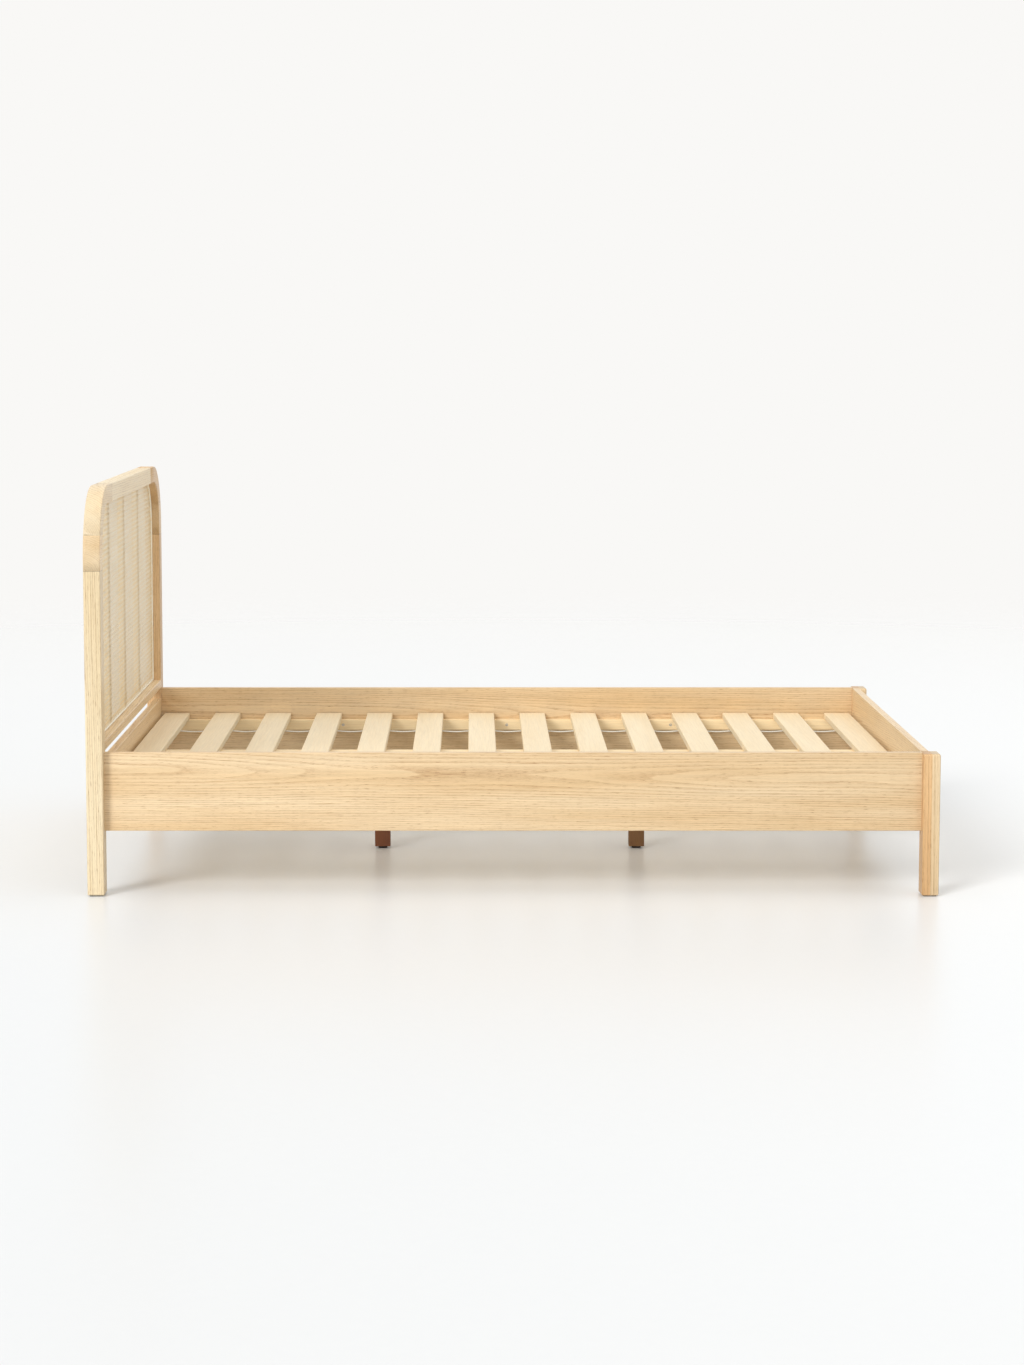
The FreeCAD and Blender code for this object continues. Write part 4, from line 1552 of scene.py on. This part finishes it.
@dataclass
class Fittings:
    """Screws, dowels, hooked and slotted plates, brackets, inserts and felt pads."""

    head_radius: float = 0.004
    head_height: float = 0.0024
    shank_radius: float = 0.0019
    recess_arm: float = 0.0021
    recess_half: float = 0.00062
    recess_depth: float = 0.0015
    head_sides: int = 24
    flutes: int = 10

    def screw(self, length: float) -> bpy.types.Mesh:
        """A countersunk screw with a crosswise recess, head at the origin, point along +Z.

        Args:
            length: From the head to the point.

        Returns:
            The mesh of one screw.
        """
        arm, half = self.recess_arm, self.recess_half
        cross = [(arm, -half), (arm, half), (half, half), (half, arm), (-half, arm), (-half, half)]
        cross += [(-x, -y) for x, y in cross]

        def build(work: bmesh.types.BMesh) -> None:
            """Make the head with its recess, and the shank."""
            def loop(points: Iterable[tuple[float, float]], height: float) -> list:
                """Add a level loop of vertices."""
                return [work.verts.new((x, y, height)) for x, y in points]

            def circle(radius: float) -> list[tuple[float, float]]:
                """Points round a circle."""
                turns = [side / self.head_sides * math.tau for side in range(self.head_sides)]
                return [(math.cos(turn) * radius, math.sin(turn) * radius) for turn in turns]

            top = loop(circle(self.head_radius * 0.95), 0.0)
            rings = [
                top,
                loop(circle(self.head_radius), 0.0002),
                loop(circle(self.head_radius * 0.98), 0.0004),
                loop(circle(self.shank_radius), self.head_height),
                loop(circle(self.shank_radius), length - 2 * self.shank_radius),
                loop(circle(self.shank_radius * 0.1), length),
            ]
            grid_faces(work, rings, closed=True)
            work.faces.new(rings[-1])
            mouth = loop(cross, 0.0)
            floor = loop([(x * 0.62, y * 0.62) for x, y in cross], self.recess_depth)
            grid_faces(work, [mouth, floor], closed=True)
            work.faces.new(floor)
            rims = []
            for ring in (top, mouth):
                for first, second in zip(ring, ring[1:] + ring[:1]):
                    edge = work.edges.get((first, second)) or work.edges.new((first, second))
                    rims.append(edge)
            bmesh.ops.triangle_fill(work, use_beauty=True, edges=rims)

        return mesh_of("screw", build)

    def dowel(self, length: float, radius: float) -> bpy.types.Mesh:
        """A fluted dowel with chamfered ends, from the origin along +Z."""
        ease = radius * 0.3
        profile = [(radius - ease, 0.0), (radius, ease), (radius, length - ease)]
        profile.append((radius - ease, length))

        def flute(turn: float, height: float) -> float:
            """How deep the groove is at a turn and a height."""
            return -0.06 * radius * (1 + math.cos(turn * self.flutes)) if height else 0.0

        def build(work: bmesh.types.BMesh) -> None:
            """Turn the grooved dowel."""
            Lathe(profile, self.flutes * 4, flute).build(work, (0.0, 0.0, 0.0))

        return mesh_of("dowel", build)

    def spread(self, name: str, node: str, slot: str, pattern: Callable, finish: Any) -> None:
        """Repeat a fastener at every place of a CAD node."""
        spots = fastener_spots(node)
        mesh = repeated(
            name,
            pattern,
            [spot.place for spot in spots],
            [turn_to(spot.toward) for spot in spots],
            finish,
        )
        Piece(name, slot, (node,)).declare(new_object(name, mesh, finish))

    def build(self) -> None:
        """Make every fitting."""
        steel = new_material("zinc_steel", Plated().paint)
        beech_cut = Cut(Axis.Z, 95.0, (40, 20))
        beech = new_material("beech", lambda graph: BEECH.paint(graph, beech_cut, (0, 0, 0)))
        felt = new_material("felt", Felt().paint)
        self.spread("wood_screw_set", "wood_screws", "steel", self.screw(0.035), steel)
        self.spread("bracket_screw_set", "bracket_screws", "steel", self.screw(0.016), steel)
        self.spread("dowel_set", "dowels", "beech", self.dowel(0.03, 0.004), beech)
        plates = ["rail_hook_plates", "leg_slot_plates", "beam_bracket_head"]
        plates += ["beam_bracket_foot", "glide_inserts", "centre_leg_bolts"]
        for node in plates:
            name = f"{node}_plated"
            made = new_object(name, merged_copy(node, name), steel)
            Piece(name, "steel", (node,)).declare(made)
        for end in ("head", "foot"):
            for side in ("left", "right"):
                node = f"felt_pad_{end}_{side}"
                made = new_object(f"{node}_soft", merged_copy(node, node), felt)
                Piece(f"{node}_soft", "felt", (node,)).declare(made)


# ------------------------------------------------------------------ stage


@dataclass(frozen=True)
class Glow:
    """A distant light: its bearing round the bed, its rise and its softness in degrees."""

    name: str
    bearing: float
    rise: float
    spread: float
    power: float


@dataclass
class Stage:
    """A plain pale floor, soft studio light and the camera."""

    glows: tuple[Glow, ...] = (
        Glow("key", -34.0, 27.0, 22.0, 2.1),
        Glow("overhead", 0.0, 80.0, 70.0, 0.62),
        Glow("fill", 88.0, 48.0, 150.0, 1.05),
    )
    ambient: float = 0.36

    paper: Colour = tint(249, 248, 246)
    floor_tint: Colour = tint(235, 237, 238)
    floor_tint_worn: Colour = tint(237, 239, 240)
    floor_radius: float = 20.0
    fade_from: float = 2.5
    fade_to: float = 9.0
    camera_place: Point = (-0.1006, -8.1575, 1.3796)
    camera_pitch: float = math.radians(83.522)
    lens: float = 79.68
    shift: float = 0.0288

    def world(self) -> None:
        """Even light from all round, the colour of the backdrop."""
        world = bpy.data.worlds.new("studio")
        world.use_nodes = True
        graph = Graph(world.node_tree)
        softer = graph.signal("ShaderNodeLightPath", output="Is Diffuse Ray")
        strength = 1.0 - softer * (1.0 - self.ambient)
        inputs = {"Color": self.paper, "Strength": strength}
        shade = graph.node("ShaderNodeBackground", None, inputs)
        graph.node("ShaderNodeOutputWorld", None, {"Surface": shade.outputs[0]})
        bpy.context.scene.world = world

    def floor(self) -> None:
        """A wide disc that fades into the backdrop."""

        def paint(graph: Graph) -> None:
            """Paint the disc, clear at its rim."""
            x, y, _ = graph.place()
            reach = (x * x + y * y).root()
            fade = 1 - reach.smooth(self.fade_from, self.fade_to)
            grain = graph.noise(graph.vector(x * 40.0, y * 40.0, 0.0), 3.0)
            colour = graph.blend(grain + 0.5, self.floor_tint, self.floor_tint_worn)
            graph.surface({"Base Color": colour, "Roughness": 0.3, "IOR": 1.3, "Alpha": fade})

        def build(work: bmesh.types.BMesh) -> None:
            """Fill the disc."""
            bmesh.ops.create_circle(
                work, cap_ends=True, segments=96, radius=self.floor_radius
            )

        material = new_material("studio_floor", paint)
        made = new_object("studio_floor", mesh_of("studio_floor", build), material)

    def lamp(self, glow: Glow) -> None:
        """One broad, even light from far away."""
        lamp = bpy.data.lights.new(glow.name, "SUN")
        lamp.angle = math.radians(glow.spread)
        lamp.energy = glow.power
        made = bpy.data.objects.new(glow.name, lamp)
        bpy.context.scene.collection.objects.link(made)
        turn, rise = math.radians(glow.bearing), math.radians(glow.rise)
        source = (math.sin(turn) * math.cos(rise), -math.cos(turn) * math.cos(rise))
        made.rotation_euler = turn_to((*source, math.sin(rise)))

    def camera(self) -> None:
        """The camera, level with the bed's long side and looking slightly down."""
        data = bpy.data.cameras.new("camera")
        data.lens = self.lens
        data.sensor_width = 36.0
        data.shift_x = self.shift
        made = bpy.data.objects.new("camera", data)
        bpy.context.scene.collection.objects.link(made)
        made.location = self.camera_place
        made.rotation_euler = (self.camera_pitch, 0.0, 0.0)
        bpy.context.scene.camera = made

    def build(self) -> None:
        """Set the stage."""
        bpy.context.scene.view_settings.view_transform = "Standard"
        self.world()
        self.floor()
        for glow in self.glows:
            self.lamp(glow)
        self.camera()


def main() -> None:
    """Build every part of the bed in order."""
    Stage().build()
    Headboard().build()
    SideFrame().build()
    SlattedBase().build()
    CentreSupport().build()
    Fittings().build()


if __name__ == "__main__":
    main()
